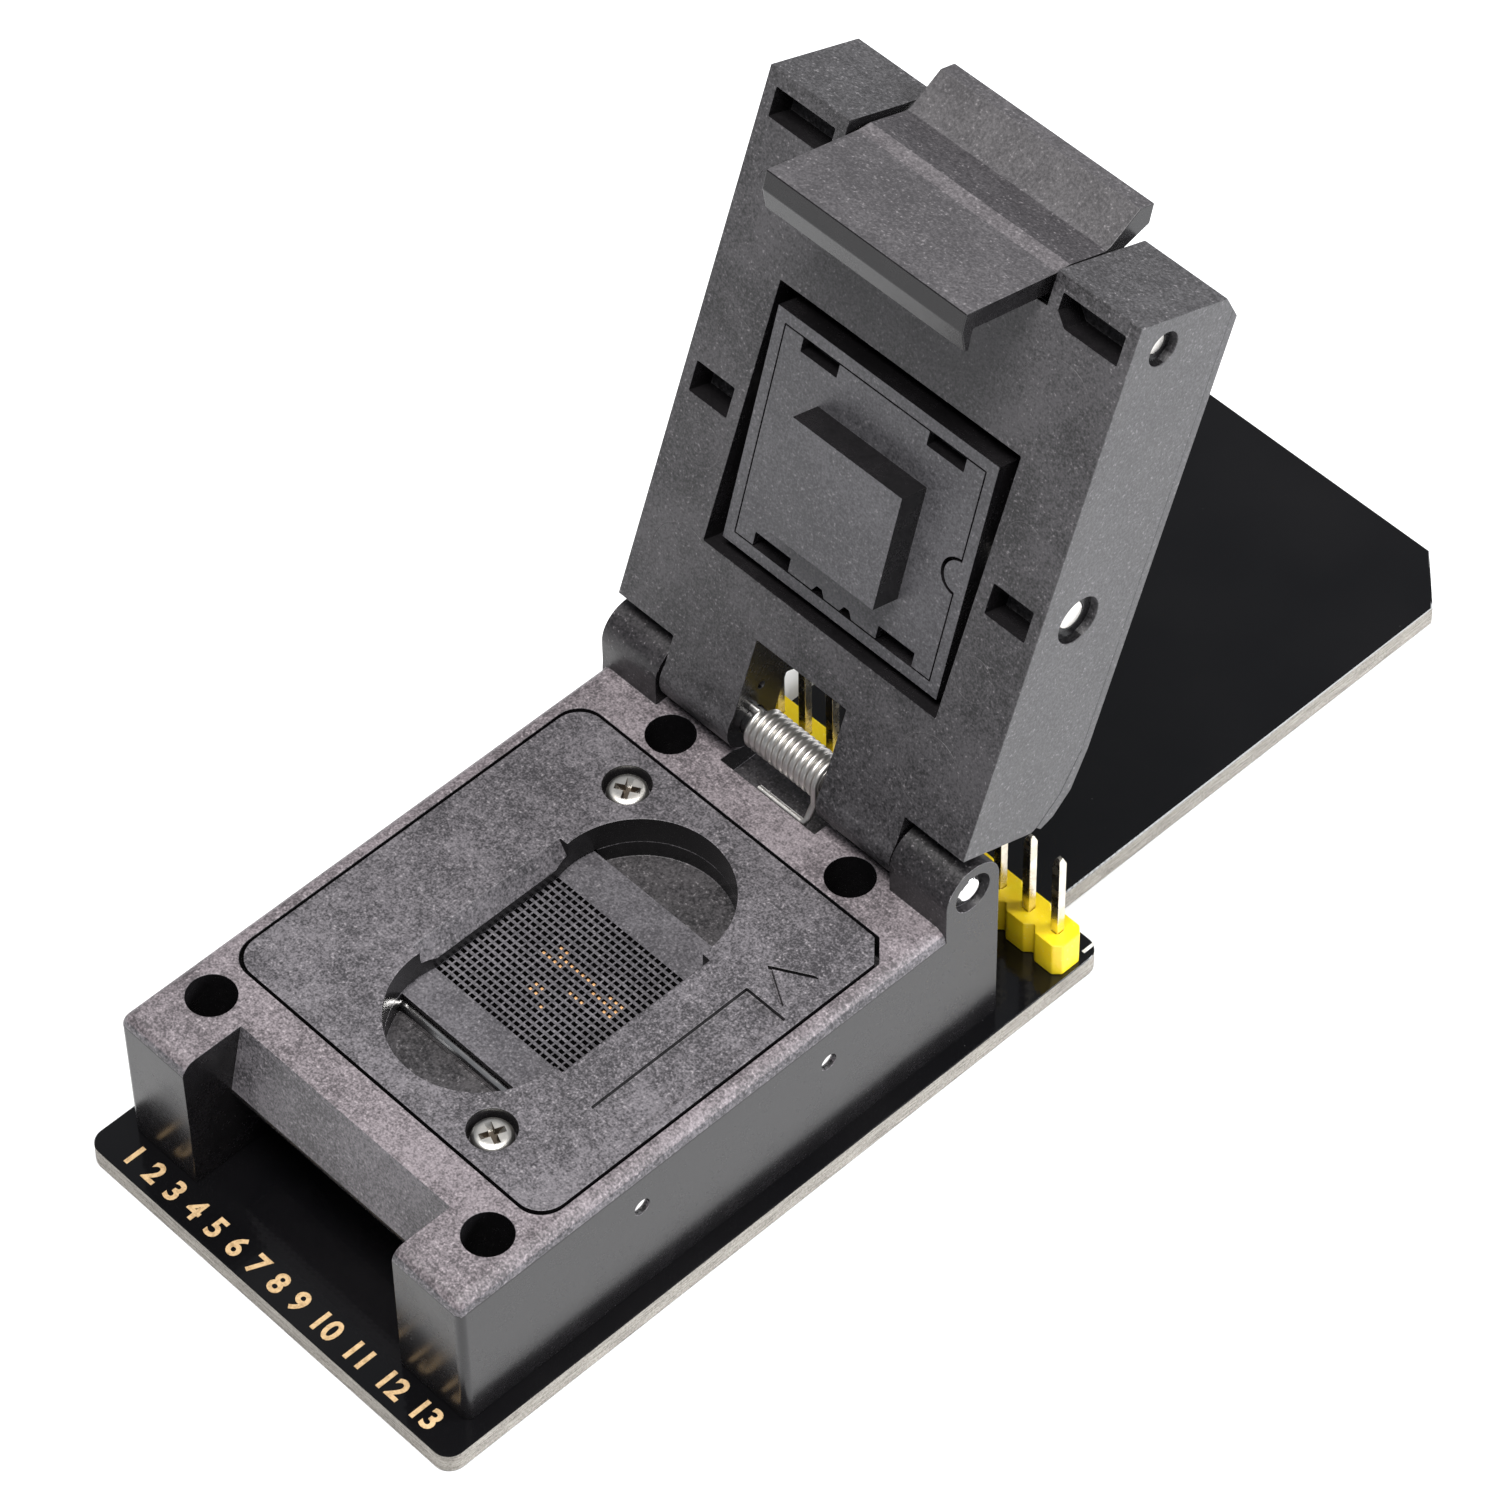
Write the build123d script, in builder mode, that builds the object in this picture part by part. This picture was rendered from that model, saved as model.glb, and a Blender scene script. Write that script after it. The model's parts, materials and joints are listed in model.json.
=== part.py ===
"""Clamshell test socket for a fine-pitch ball grid chip, on a card-edge adapter board.

Millimetres. Origin on the underside of the board, below the middle of the chip nest.
+Z is up, +Y runs from the latch at the front to the hinge at the rear, +X to the right.
The lid stands open, as far as it goes. Its own sketches are drawn in lid coordinates:
s runs from the hinge axis to the latch end, n stands out of the lid's inner face.
"""

import os
from math import cos, radians, sin

from build123d import *

# Adapter board
board_t = 1.6
board_side_margin = 0.29
board_front_lip = 2.8
board_rear_lip = 8.3
board_corner = 1.2
tongue_width = 24.0
tongue_end = 70.8
tongue_chamfer = 3.6
pad_count = 9
pad_pitch = 2.5
pad_width = 1.7
pad_length = 4.4
pad_t = 0.06
pad_inset = 1.0

# Socket base
base_width = 31.0
base_length = 45.0
base_height = 11.6
base_edge = 1.0
base_corner = 0.6
front_hole_x = 12.55
front_hole_y = -17.5
rear_hole_x = 8.1
rear_hole_y = 16.9
screw_hole_d = 2.2
counterbore_d = 3.3
counterbore_floor = 3.4

# Latch recess in the front wall
recess_width = 19.0
recess_top_depth = 4.75
lip_depth = 3.5
lip_height = 6.4
ledge_height = 5.95
undercut_depth = 6.1

# Hinge
hinge_y = 20.2
hinge_height = 13.7
ear_radius = 2.3
ear_width = 5.0
hinge_pin_d = 2.0
pin_recess = 0.6
pin_bore_d = 2.9
trough_radius = 2.5
running = 0.05

# Chip nest and the insert that frames it
insert_width = 28.1
insert_end_wall = 2.0
insert_t = 2.2
insert_corner = 1.9
insert_chamfer = 1.5
insert_gap = 0.2
nest_width = 11.8
nest_length = 13.1
lead_in = 0.9
lead_in_depth = 1.5
relief_radius = 6.1
insert_screw_x = 7.0
insert_screw_inset = 2.55
insert_screw_bore_d = 3.2
insert_screw_head_d = 2.75
insert_screw_head_t = 1.3
insert_screw_shank_d = 1.5
insert_screw_length = 5.0
size_recess_x = 11.6
size_recess_width = 3.4
size_recess_length = 13.0
size_recess_y = -0.2
size_recess_depth = 0.35
mark_x = 11.2
mark_y = 8.4
mark_length = 2.6
mark_spread = 3.0
mark_line = 0.35

# Floating contact plate, its carrier and the contacts
plate_top = 9.3
plate_width = 14.4
plate_front = 7.05
plate_rear = 6.9
plate_t = 2.0
plate_tongue = 1.3
plate_tongue_t = 0.4
plate_front_tongue = 0.4
plate_travel = 0.3
contact_pitch = 0.5
contact_columns = 24
contact_rows = 21
contact_hole = 0.3
contact_pin = 0.22
contact_tip_drop = 0.12
carrier_top = 6.7
cavity_clearance = 0.15
float_spring_x = 6.5
float_spring_y = 5.2
float_spring_d = 1.1
float_spring_wire = 0.2
float_spring_turns = 3
float_spring_sides = 8
float_pocket_depth = 0.9
cross_pin_d = 1.2
cross_pin_y = 7.83
cross_pin_height = 7.95
relief_floor = 8.0

# Lid
lid_open = 110.8
lid_width = 30.8
lid_start = 3.0
lid_end = 42.2
lid_face = 2.0
lid_back = 6.75
cover_t = 0.7
knuckle_radius = 2.15
knuckle_side_gap = 0.15
spring_window = (-4.1, 3.8)
spring_window_top = 6.8
spring_window_foot = 4.0
spring_pocket_gap = 0.3
press_window_width = 20.4
press_window_length = 19.4
latch_notch_width = 17.3
latch_notch_depth = 5.0
end_slot = (9.5, 14.5)
end_slot_s = (39.05, 41.1)
end_slot_clip = 0.8
side_slot = (11.2, 14.5)
side_slot_width = 2.2
slot_depth = 2.0

# Pressure plate on its cross pin
press_s = 20.2
press_pin_depth = 1.6
press_pin_d = 2.0
press_pin_bore_d = 3.4
press_tilt = 4.1
press_frame_width = 18.8
press_frame_length = 17.7
press_face = 3.55
press_frame_t = 2.4
press_lug_width = 2.4
press_plate_width = 17.0
press_plate_length = 15.8
press_plate_t = 1.2
press_seam = 0.08
press_pad_width = 9.4
press_pad_length = 8.5
press_pad_height = 2.2
press_notch_x = 5.4
press_notch_width = 3.1
press_notch_depth = 1.0
press_small_notch_x = 1.2
press_small_notch_width = 1.6
key_radius = 1.15
press_spring_d = 3.0
press_spring_wire = 0.4
press_spring_turns = 4
press_spring_sides = 8
press_spring_s = 5.6
spring_seat_gap = 0.05

# Latch
latch_s = 40.0
latch_pin_depth = 0.9
latch_pin_d = 1.5
latch_bore_d = 2.4
latch_width = 16.6
latch_lean = 6.5
latch_hub_radius = 1.7
latch_hub_back = (-0.6, -1.9)
latch_hub_side = (-1.2, -1.2)
latch_hub_front = (-0.9, 1.44)
latch_face = 1.87
latch_plate_t = 1.4
latch_reach = 9.9
latch_hook = 1.1
latch_hook_t = 0.95
latch_hook_edge = 0.3
latch_nose = 0.5
latch_ramp = 2.2
latch_crest = (2.05, 1.1)
latch_valley = (1.75, -2.1)
latch_lip_root = (1.95, -2.5)
latch_lip_tip = (3.9, -4.5)
latch_lip_end = (3.85, -5.75)
latch_lip_under = (2.4, -5.75)
latch_lip_hollow = (1.1, -3.4)
latch_shelf = 0.9
latch_shelf_s = (39.3, 39.7)
latch_gap = (4.4, 2.8)
latch_gap_shift = 0.9
latch_spring_slot = 4.4
latch_spring_wire = 0.35
latch_spring_turns = 6
latch_spring_sides = 8

# Hinge spring
spring_wire = 0.46
spring_pitch = 0.5
spring_turns = 12
spring_sides = 16
spring_start = -3.55
spring_upper_turn = (0.55, 1.7)
spring_upper_rise = (0.9, 2.6)
spring_anchor = 1.3
spring_lower_bend = (-2.25, -2.33)
spring_lower_x = (3.3, -1.15)

# Pin header behind the socket
header_positions = 13
header_pitch = 2.54
header_y = 28.2
header_depth = 2.5
header_height = 2.9
header_notch = 0.5
header_pin = 0.64
header_pin_above = 7.1
header_pin_point = 0.5

# Working planes and heights that follow from the sizes above
board_width = header_positions * header_pitch + 2 * board_side_margin
spring_window_mid = (spring_window[0] + spring_window[1]) / 2
insert_length = nest_length + 2 * relief_radius + 2 * insert_end_wall
insert_screw_y = insert_length / 2 - insert_screw_inset
board_top = board_t
base_top = board_top + base_height
front_y = -base_length / 2
rear_y = base_length / 2
axis_z = board_top + hinge_height
ear_x = base_width / 2 - ear_width
insert_floor = base_top - insert_t
board_front = front_y - board_front_lip
board_rear = rear_y + board_rear_lip


def open_plane(angle, origin):
    """Plane across the lid: local x along the lid, local y out of its inner face."""
    along = Vector(0, -cos(radians(angle)), sin(radians(angle)))
    return Plane(origin=origin, x_dir=along, z_dir=(1, 0, 0))


def face_plane(angle, origin):
    """Plane parallel to the lid's inner face: local x to the right, local y along the lid."""
    out = Vector(0, -sin(radians(angle)), -cos(radians(angle)))
    return Plane(origin=origin, x_dir=(1, 0, 0), z_dir=out)


hinge_point = Vector(0, hinge_y, axis_z)
lid_side = open_plane(lid_open, hinge_point)
lid_front = face_plane(lid_open, hinge_point)
press_point = lid_side.from_local_coords(Vector(press_s, -press_pin_depth, 0))
press_side = open_plane(lid_open - press_tilt, press_point)
press_front = face_plane(lid_open - press_tilt, press_point)
latch_point = lid_side.from_local_coords(Vector(latch_s, -latch_pin_depth, 0))
latch_side = open_plane(lid_open - latch_lean, latch_point)
os.makedirs("parts", exist_ok=True)


def save(part, name):
    """Label a finished piece and write it under its own name."""
    part.label = name
    export_step(part, "parts/" + name + ".step")


def ridged_coil(start, pitch, turns, inner, wire, sides):
    """Coil along a plane's normal: each turn is one many-sided ridge round a plain bore."""
    root = inner + wire * 0.6
    crest = inner + wire
    with BuildPart() as one_turn:
        for rise, low, high in ((0, root, crest), (pitch / 2, crest, root)):
            with BuildSketch(Plane.XY.offset(rise)):
                RegularPolygon(low, sides)
            with BuildSketch(Plane.XY.offset(rise + pitch / 2)):
                RegularPolygon(high, sides)
            loft()
        with BuildSketch():
            RegularPolygon(inner, sides, major_radius=False)
        extrude(amount=pitch, mode=Mode.SUBTRACT)
    with BuildPart() as coil:
        with Locations(*[start.offset(pitch * turn) for turn in range(turns)]):
            add(one_turn.part)
    return coil.part


def base_hole_points():
    """The four screw places, front pair first."""
    front = [(-front_hole_x, front_hole_y), (front_hole_x, front_hole_y)]
    return front + [(-rear_hole_x, rear_hole_y), (rear_hole_x, rear_hole_y)]


def header_points():
    """Centres of the header's positions."""
    first = -(header_positions - 1) / 2 * header_pitch
    return [(first + i * header_pitch, header_y) for i in range(header_positions)]


# Adapter board: wide under the socket, narrow at the card end, one corner cut
with BuildPart() as adapter_board:
    with BuildSketch() as outline:
        with BuildLine():
            Polyline(
                (-board_width / 2, board_front),
                (board_width / 2, board_front),
                (board_width / 2, board_rear),
                (tongue_width / 2, board_rear),
                (tongue_width / 2, tongue_end - tongue_chamfer),
                (tongue_width / 2 - tongue_chamfer, tongue_end),
                (-tongue_width / 2, tongue_end),
                (-tongue_width / 2, board_rear),
                (-board_width / 2, board_rear),
                close=True,
            )
        make_face()
        wide = outline.vertices().filter_by(lambda v: abs(v.X) > board_width / 2 - 0.01)
        fillet(wide, board_corner)
    extrude(amount=board_t)
    with Locations(*base_hole_points()):
        Hole(radius=screw_hole_d / 2)
    with BuildSketch(Plane.XY):
        with Locations(*header_points()):
            Rectangle(header_pin, header_pin)
    extrude(amount=board_t, mode=Mode.SUBTRACT)
    with BuildSketch(Plane.XY):
        with Locations((0, tongue_end - pad_inset - pad_length / 2 - tongue_chamfer)):
            with GridLocations(pad_pitch, 0, pad_count, 1):
                Rectangle(pad_width, pad_length)
    extrude(amount=pad_t, mode=Mode.SUBTRACT)
save(adapter_board.part, "adapter_board")

# Card-edge pads: plated copper let into the underside of the tongue
with BuildPart() as edge_contacts:
    with BuildSketch():
        with Locations((0, tongue_end - pad_inset - pad_length / 2 - tongue_chamfer)):
            with GridLocations(pad_pitch, 0, pad_count, 1):
                Rectangle(pad_width, pad_length)
    extrude(amount=pad_t)
save(edge_contacts.part, "edge_contacts")

# Socket base: moulded housing with latch recess, nest cavity and two hinge ears
with BuildPart() as base_housing:
    with BuildSketch(Plane.XY.offset(board_top)):
        Rectangle(base_width, base_length)
    extrude(amount=base_height)
    fillet(base_housing.edges().filter_by(Axis.Z).group_by(Axis.Y)[0], base_corner)
    fillet(base_housing.edges().filter_by(Axis.X).group_by(Axis.Z)[-1].sort_by(Axis.Y)[0], base_edge)
    with BuildSketch(Plane.YZ.offset(ear_x)) as ear_profile:
        with Locations((hinge_y, axis_z)):
            Circle(ear_radius)
        with Locations((hinge_y, (axis_z + base_top) / 2 - base_edge / 2)):
            Rectangle(2 * ear_radius, axis_z - base_top + base_edge)
    extrude(amount=ear_width)
    mirror(about=Plane.YZ, mode=Mode.ADD)
    # Trough under the lid's knuckles, deeper in the middle for the spring
    with BuildSketch(Plane.YZ.offset(-ear_x)):
        with Locations((hinge_y, axis_z)):
            Circle(trough_radius)
    extrude(amount=2 * ear_x, mode=Mode.SUBTRACT)
    with BuildSketch(Plane.XY.offset(base_top)):
        with Locations((spring_window_mid, hinge_y)):
            Rectangle(spring_window[1] - spring_window[0] + 2 * spring_pocket_gap, 2 * trough_radius)
    extrude(amount=-hinge_pin_d, mode=Mode.SUBTRACT)
    # Hinge bore, wider at both outer ends
    with BuildSketch(Plane.YZ.offset(-base_width / 2)):
        with Locations((hinge_y, axis_z)):
            Circle(hinge_pin_d / 2 + running / 2)
    extrude(amount=base_width, mode=Mode.SUBTRACT)
    for side in (-1, 1):
        with BuildSketch(Plane.YZ.offset(side * base_width / 2)):
            with Locations((hinge_y, axis_z)):
                Circle(pin_bore_d / 2)
        extrude(amount=-side * pin_recess, mode=Mode.SUBTRACT)
    # Latch recess: sloped face, lip and undercut ledge
    with BuildSketch(Plane.YZ.offset(-recess_width / 2)):
        with BuildLine():
            Polyline(
                (front_y - 1, base_top + 1),
                (front_y + recess_top_depth, base_top + 1),
                (front_y + recess_top_depth, base_top),
                (front_y + lip_depth, board_top + lip_height),
                (front_y + lip_depth, board_top + ledge_height),
                (front_y + undercut_depth, board_top + ledge_height),
                (front_y + undercut_depth, board_top),
                (front_y - 1, board_top),
                close=True,
            )
        make_face()
    extrude(amount=recess_width, mode=Mode.SUBTRACT)
    # Pocket for the insert
    with BuildSketch(Plane.XY.offset(base_top)) as insert_pocket:
        Rectangle(insert_width + 2 * insert_gap, insert_length + 2 * insert_gap)
        corners = insert_pocket.vertices()
        key_corner = corners.sort_by(lambda v: v.X + v.Y)[-1]
        fillet(corners.filter_by(lambda v: v.X + v.Y < key_corner.X), insert_corner)
        chamfer(insert_pocket.vertices().sort_by(lambda v: v.X + v.Y)[-1:], insert_chamfer)
    extrude(amount=-insert_t, mode=Mode.SUBTRACT)
    # Finger reliefs and the contact cavity below the insert
    with BuildSketch(Plane.XY.offset(insert_floor)):
        with Locations((0, -nest_length / 2), (0, nest_length / 2)):
            Circle(relief_radius)
    extrude(amount=-(insert_floor - board_top - relief_floor), mode=Mode.SUBTRACT)
    with BuildSketch(Plane.XY.offset(insert_floor)):
        with Locations((0, (plate_rear + plate_tongue - plate_front) / 2)):
            Rectangle(
                plate_width + 2 * cavity_clearance,
                plate_front + plate_rear + plate_tongue + 2 * cavity_clearance,
            )
    extrude(amount=-(insert_floor - board_top), mode=Mode.SUBTRACT)
    # Cross pin bores, screw holes and insert screw holes
    with BuildSketch(Plane.YZ.offset(-base_width / 2)):
        with Locations(
            (-cross_pin_y, board_top + cross_pin_height), (cross_pin_y, board_top + cross_pin_height)
        ):
            Circle(cross_pin_d / 2)
    extrude(amount=base_width, mode=Mode.SUBTRACT)
    with BuildSketch(Plane.XY.offset(base_top)):
        with Locations(*base_hole_points()):
            Circle(counterbore_d / 2)
    extrude(amount=-(base_height - counterbore_floor), mode=Mode.SUBTRACT)
    with BuildSketch(Plane.XY.offset(base_top)):
        with Locations(*base_hole_points()):
            Circle(screw_hole_d / 2)
    extrude(amount=-base_height, mode=Mode.SUBTRACT)
    with BuildSketch(Plane.XY.offset(insert_floor)):
        with Locations((-insert_screw_x, insert_screw_y), (insert_screw_x, -insert_screw_y)):
            Circle(insert_screw_shank_d / 2)
    extrude(amount=-insert_screw_length, mode=Mode.SUBTRACT)
save(base_housing.part, "base_housing")

# Insert: the frame that guides the chip, with finger reliefs, screws and pin-one mark
with BuildPart() as locator_insert:
    with BuildSketch(Plane.XY.offset(insert_floor)) as insert_outline:
        Rectangle(insert_width, insert_length)
        corners = insert_outline.vertices()
        key_corner = corners.sort_by(lambda v: v.X + v.Y)[-1]
        fillet(corners.filter_by(lambda v: v.X + v.Y < key_corner.X), insert_corner)
        chamfer(insert_outline.vertices().sort_by(lambda v: v.X + v.Y)[-1:], insert_chamfer)
    extrude(amount=insert_t)
    with BuildSketch(Plane.XY.offset(insert_floor)):
        Rectangle(nest_width, nest_length)
        with Locations((0, -nest_length / 2), (0, nest_length / 2)):
            Circle(relief_radius)
    extrude(amount=insert_t, mode=Mode.SUBTRACT)
    # Sloped walls that lead the chip in from both sides
    for side in (-1, 1):
        with BuildSketch(Plane.XZ.offset(-nest_length / 2 + 0.4)):
            with BuildLine():
                Polyline(
                    (side * nest_width / 2, base_top - lead_in_depth),
                    (side * (nest_width / 2 + lead_in), base_top),
                    (side * nest_width / 4, base_top),
                    (side * nest_width / 4, base_top - lead_in_depth),
                    close=True,
                )
            make_face()
        extrude(amount=nest_length - 0.8, mode=Mode.SUBTRACT)
    with BuildSketch(Plane.XY.offset(base_top)):
        with Locations((-insert_screw_x, insert_screw_y), (insert_screw_x, -insert_screw_y)):
            Circle(insert_screw_bore_d / 2)
    extrude(amount=-(insert_t - 0.6), mode=Mode.SUBTRACT)
    with BuildSketch(Plane.XY.offset(base_top)):
        with Locations((-insert_screw_x, insert_screw_y), (insert_screw_x, -insert_screw_y)):
            Circle(insert_screw_shank_d / 2 + running)
    extrude(amount=-insert_t, mode=Mode.SUBTRACT)
    # Plain recess for the size and the arrow mark
    with BuildSketch(Plane.XY.offset(base_top)):
        with Locations((size_recess_x, size_recess_y)):
            Rectangle(size_recess_width, size_recess_length)
    extrude(amount=-size_recess_depth, mode=Mode.SUBTRACT)
    with BuildSketch(Plane.XY.offset(base_top)):
        with BuildLine():
            Polyline(
                (mark_x + mark_length / 2, mark_y + mark_spread / 2),
                (mark_x - mark_length / 2, mark_y),
                (mark_x + mark_length / 2, mark_y - mark_spread / 2),
                (mark_x + mark_length / 2 - mark_line, mark_y - mark_spread / 2),
                (mark_x - mark_length / 2 - mark_line, mark_y),
                (mark_x + mark_length / 2 - mark_line, mark_y + mark_spread / 2),
                close=True,
            )
        make_face()
    extrude(amount=-size_recess_depth, mode=Mode.SUBTRACT)
save(locator_insert.part, "locator_insert")

# Two screws that hold the insert down
with BuildPart() as insert_screws:
    with BuildSketch(Plane.XY.offset(insert_floor + 0.6)):
        with Locations((-insert_screw_x, insert_screw_y), (insert_screw_x, -insert_screw_y)):
            Circle(insert_screw_head_d / 2)
    extrude(amount=insert_screw_head_t)
    chamfer(insert_screws.edges().filter_by(GeomType.CIRCLE).group_by(Axis.Z)[-1], 0.3)
    with BuildSketch(Plane.XY.offset(insert_floor + 0.6)):
        with Locations((-insert_screw_x, insert_screw_y), (insert_screw_x, -insert_screw_y)):
            Circle(insert_screw_shank_d / 2)
    extrude(amount=-insert_screw_length)
save(insert_screws.part, "insert_screws")

# Floating contact plate: a sprung guide with a square hole for each contact that is fitted
column_span = (contact_columns - 1) * contact_pitch
row_span = (contact_rows - 1) * contact_pitch
contact_sites = [(9, 12), (10, 12), (8, 13), (9, 13), (7, 11), (8, 11), (9, 11), (10, 11)]
contact_sites += [(11, 12), (12, 12), (13, 12), (14, 12), (15, 12), (16, 11), (17, 11)]
contact_sites += [(10, 7), (11, 7), (10, 6), (11, 6), (13, 5), (16, 9), (15, 9), (14, 9)]
contact_sites += [(18, 12), (19, 12), (20, 12), (18, 11), (19, 11), (20, 11), (19, 10), (20, 10)]


def site_point(site):
    """Centre of one hole of the grid, from its column and row."""
    column, row = site
    return (column * contact_pitch - column_span / 2, row * contact_pitch - row_span / 2)


plate_mid = (plate_rear - plate_front) / 2
with BuildPart() as contact_plate:
    with BuildSketch(Plane.XY.offset(board_top + plate_top - plate_t)):
        with Locations((0, plate_mid)):
            Rectangle(plate_width, plate_front + plate_rear)
    extrude(amount=plate_t)
    with BuildSketch(Plane.XY.offset(board_top + plate_top)):
        with Locations((0, plate_rear + plate_tongue / 2)):
            Rectangle(2 * relief_radius - 1.0, plate_tongue)
        with Locations((0, -plate_front - plate_front_tongue / 2)):
            Rectangle(2 * relief_radius - 1.0, plate_front_tongue)
    extrude(amount=-plate_tongue_t)
    with BuildSketch(Plane.XY.offset(board_top + plate_top)):
        with Locations(*[site_point(site) for site in contact_sites]):
            Rectangle(contact_hole, contact_hole)
    extrude(amount=-plate_t, mode=Mode.SUBTRACT)
save(contact_plate.part, "contact_plate")

# Contact carrier: the fixed block that holds the contacts and the plate's springs
with BuildPart() as contact_carrier:
    with BuildSketch(Plane.XY.offset(board_top)):
        with Locations((0, plate_mid)):
            Rectangle(plate_width, plate_front + plate_rear)
    extrude(amount=carrier_top)
    with BuildSketch(Plane.XY.offset(board_top + carrier_top)):
        with GridLocations(2 * float_spring_x, 2 * float_spring_y, 2, 2):
            Circle(float_spring_d / 2 + running)
    extrude(amount=-float_pocket_depth, mode=Mode.SUBTRACT)
save(contact_carrier.part, "contact_carrier")

# Contacts: square pins with a pointed tip, only at the balls that are used
with BuildPart() as contact_pins:
    with BuildSketch(Plane.XY.offset(board_top + carrier_top)):
        with Locations(*[site_point(site) for site in contact_sites]):
            Rectangle(contact_pin, contact_pin)
    extrude(amount=plate_top - contact_tip_drop - carrier_top)
save(contact_pins.part, "contact_pins")

# Springs under the four corners of the contact plate
spring_floor = board_top + carrier_top - float_pocket_depth
spring_rise = plate_top - plate_t - carrier_top + float_pocket_depth
one_float_spring = ridged_coil(
    Plane.XY.offset(spring_floor + spring_seat_gap),
    (spring_rise - 2 * spring_seat_gap) / float_spring_turns,
    float_spring_turns,
    float_spring_d / 2 - float_spring_wire,
    float_spring_wire,
    float_spring_sides,
)
with BuildPart() as float_springs:
    with GridLocations(2 * float_spring_x, 2 * float_spring_y, 2, 2):
        add(one_float_spring)
save(float_springs.part, "float_springs")

# Cross pins through the base
with BuildPart() as cross_pins:
    with BuildSketch(Plane.YZ.offset(-base_width / 2 + 0.2)):
        with Locations(
            (-cross_pin_y, board_top + cross_pin_height), (cross_pin_y, board_top + cross_pin_height)
        ):
            Circle(cross_pin_d / 2)
    extrude(amount=base_width - 0.4)
save(cross_pins.part, "cross_pins")

# Hinge pin
with BuildPart() as hinge_pin:
    with BuildSketch(Plane.YZ.offset(-base_width / 2 + pin_recess / 2)):
        with Locations((hinge_y, axis_z)):
            Circle(hinge_pin_d / 2)
    extrude(amount=base_width - pin_recess)
    chamfer(hinge_pin.edges().filter_by(GeomType.CIRCLE), 0.2)
save(hinge_pin.part, "hinge_pin")

# Lid frame: side profile drawn in lid coordinates, then its windows, slots and bores
with BuildPart() as lid_frame:
    with BuildSketch(lid_side.offset(-lid_width / 2)):
        with BuildLine():
            Polyline(
                (lid_start, lid_face),
                (lid_end, lid_face),
                (lid_end, -lid_back + 0.9),
                (lid_end - 0.9, -lid_back),
                (8.6, -lid_back),
                (5.5, -lid_back + 0.7),
                (lid_start + 0.3, -lid_back + 2.0),
                (lid_start, -lid_back + 2.4),
                close=True,
            )
        make_face()
    extrude(amount=lid_width)
    with BuildSketch(lid_side.offset(-ear_x + knuckle_side_gap)):
        Circle(knuckle_radius)
        with Locations((lid_start / 2 + 0.2, (lid_face - knuckle_radius) / 2)):
            Rectangle(lid_start + 0.4, lid_face + knuckle_radius)
    extrude(amount=2 * (ear_x - knuckle_side_gap))
    with BuildSketch(lid_side.offset(-ear_x)):
        Circle(hinge_pin_d / 2 + running)
    extrude(amount=2 * ear_x, mode=Mode.SUBTRACT)
    # Windows right through: pressure plate, hinge spring and latch
    with BuildSketch(lid_front.offset(lid_face)):
        with Locations((0, press_s)):
            Rectangle(press_window_width, press_window_length)
        with Locations((spring_window_mid, (spring_window_top - spring_window_foot) / 2)):
            Rectangle(spring_window[1] - spring_window[0], spring_window_top + spring_window_foot)
    extrude(amount=-2 * lid_back, mode=Mode.SUBTRACT)
    # Latch notch: open behind the pin, with a thin shelf of the inner face over the hub
    with BuildSketch(lid_side.offset(-latch_notch_width / 2)):
        with BuildLine():
            Polyline(
                (lid_end + 1, lid_face + 1),
                (latch_shelf_s[1], lid_face + 1),
                (latch_shelf_s[1], lid_face),
                (latch_shelf_s[0], lid_face - latch_shelf),
                (lid_end - latch_notch_depth, lid_face - latch_shelf),
                (lid_end - latch_notch_depth, -lid_back - 1),
                (lid_end + 1, -lid_back - 1),
                close=True,
            )
        make_face()
    extrude(amount=latch_notch_width, mode=Mode.SUBTRACT)
    # Small hole in the window's wall that takes the hinge spring's upper leg
    with BuildSketch(Plane.YZ.offset(spring_window[0])):
        with Locations((hinge_y + spring_upper_rise[0], axis_z + spring_upper_rise[1])):
            Circle(spring_wire / 2 + running)
    extrude(amount=-spring_anchor, mode=Mode.SUBTRACT)
    # Moulding slots in the inner face
    for side in (-1, 1):
        with BuildSketch(lid_front.offset(lid_face)):
            with BuildLine():
                Polyline(
                    (side * end_slot[0], end_slot_s[1]),
                    (side * end_slot[1], end_slot_s[1]),
                    (side * end_slot[1], end_slot_s[0]),
                    (side * (end_slot[0] + end_slot_clip), end_slot_s[0]),
                    (side * end_slot[0], end_slot_s[0] + end_slot_clip),
                    close=True,
                )
            make_face()
            with Locations((side * (side_slot[0] + side_slot[1]) / 2, press_s)):
                Rectangle(side_slot[1] - side_slot[0], side_slot_width)
        extrude(amount=-slot_depth, mode=Mode.SUBTRACT)
    # Pin bores, wider at both outer ends
    with BuildSketch(lid_side.offset(-lid_width / 2)):
        with Locations((press_s, -press_pin_depth)):
            Circle(press_pin_d / 2)
        with Locations((latch_s, -latch_pin_depth)):
            Circle(latch_pin_d / 2)
    extrude(amount=lid_width, mode=Mode.SUBTRACT)
    for side in (-1, 1):
        with BuildSketch(lid_side.offset(side * lid_width / 2)):
            with Locations((press_s, -press_pin_depth)):
                Circle(press_pin_bore_d / 2)
            with Locations((latch_s, -latch_pin_depth)):
                Circle(latch_bore_d / 2)
        extrude(amount=-side * pin_recess, mode=Mode.SUBTRACT)
save(lid_frame.part, "lid_frame")

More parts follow.
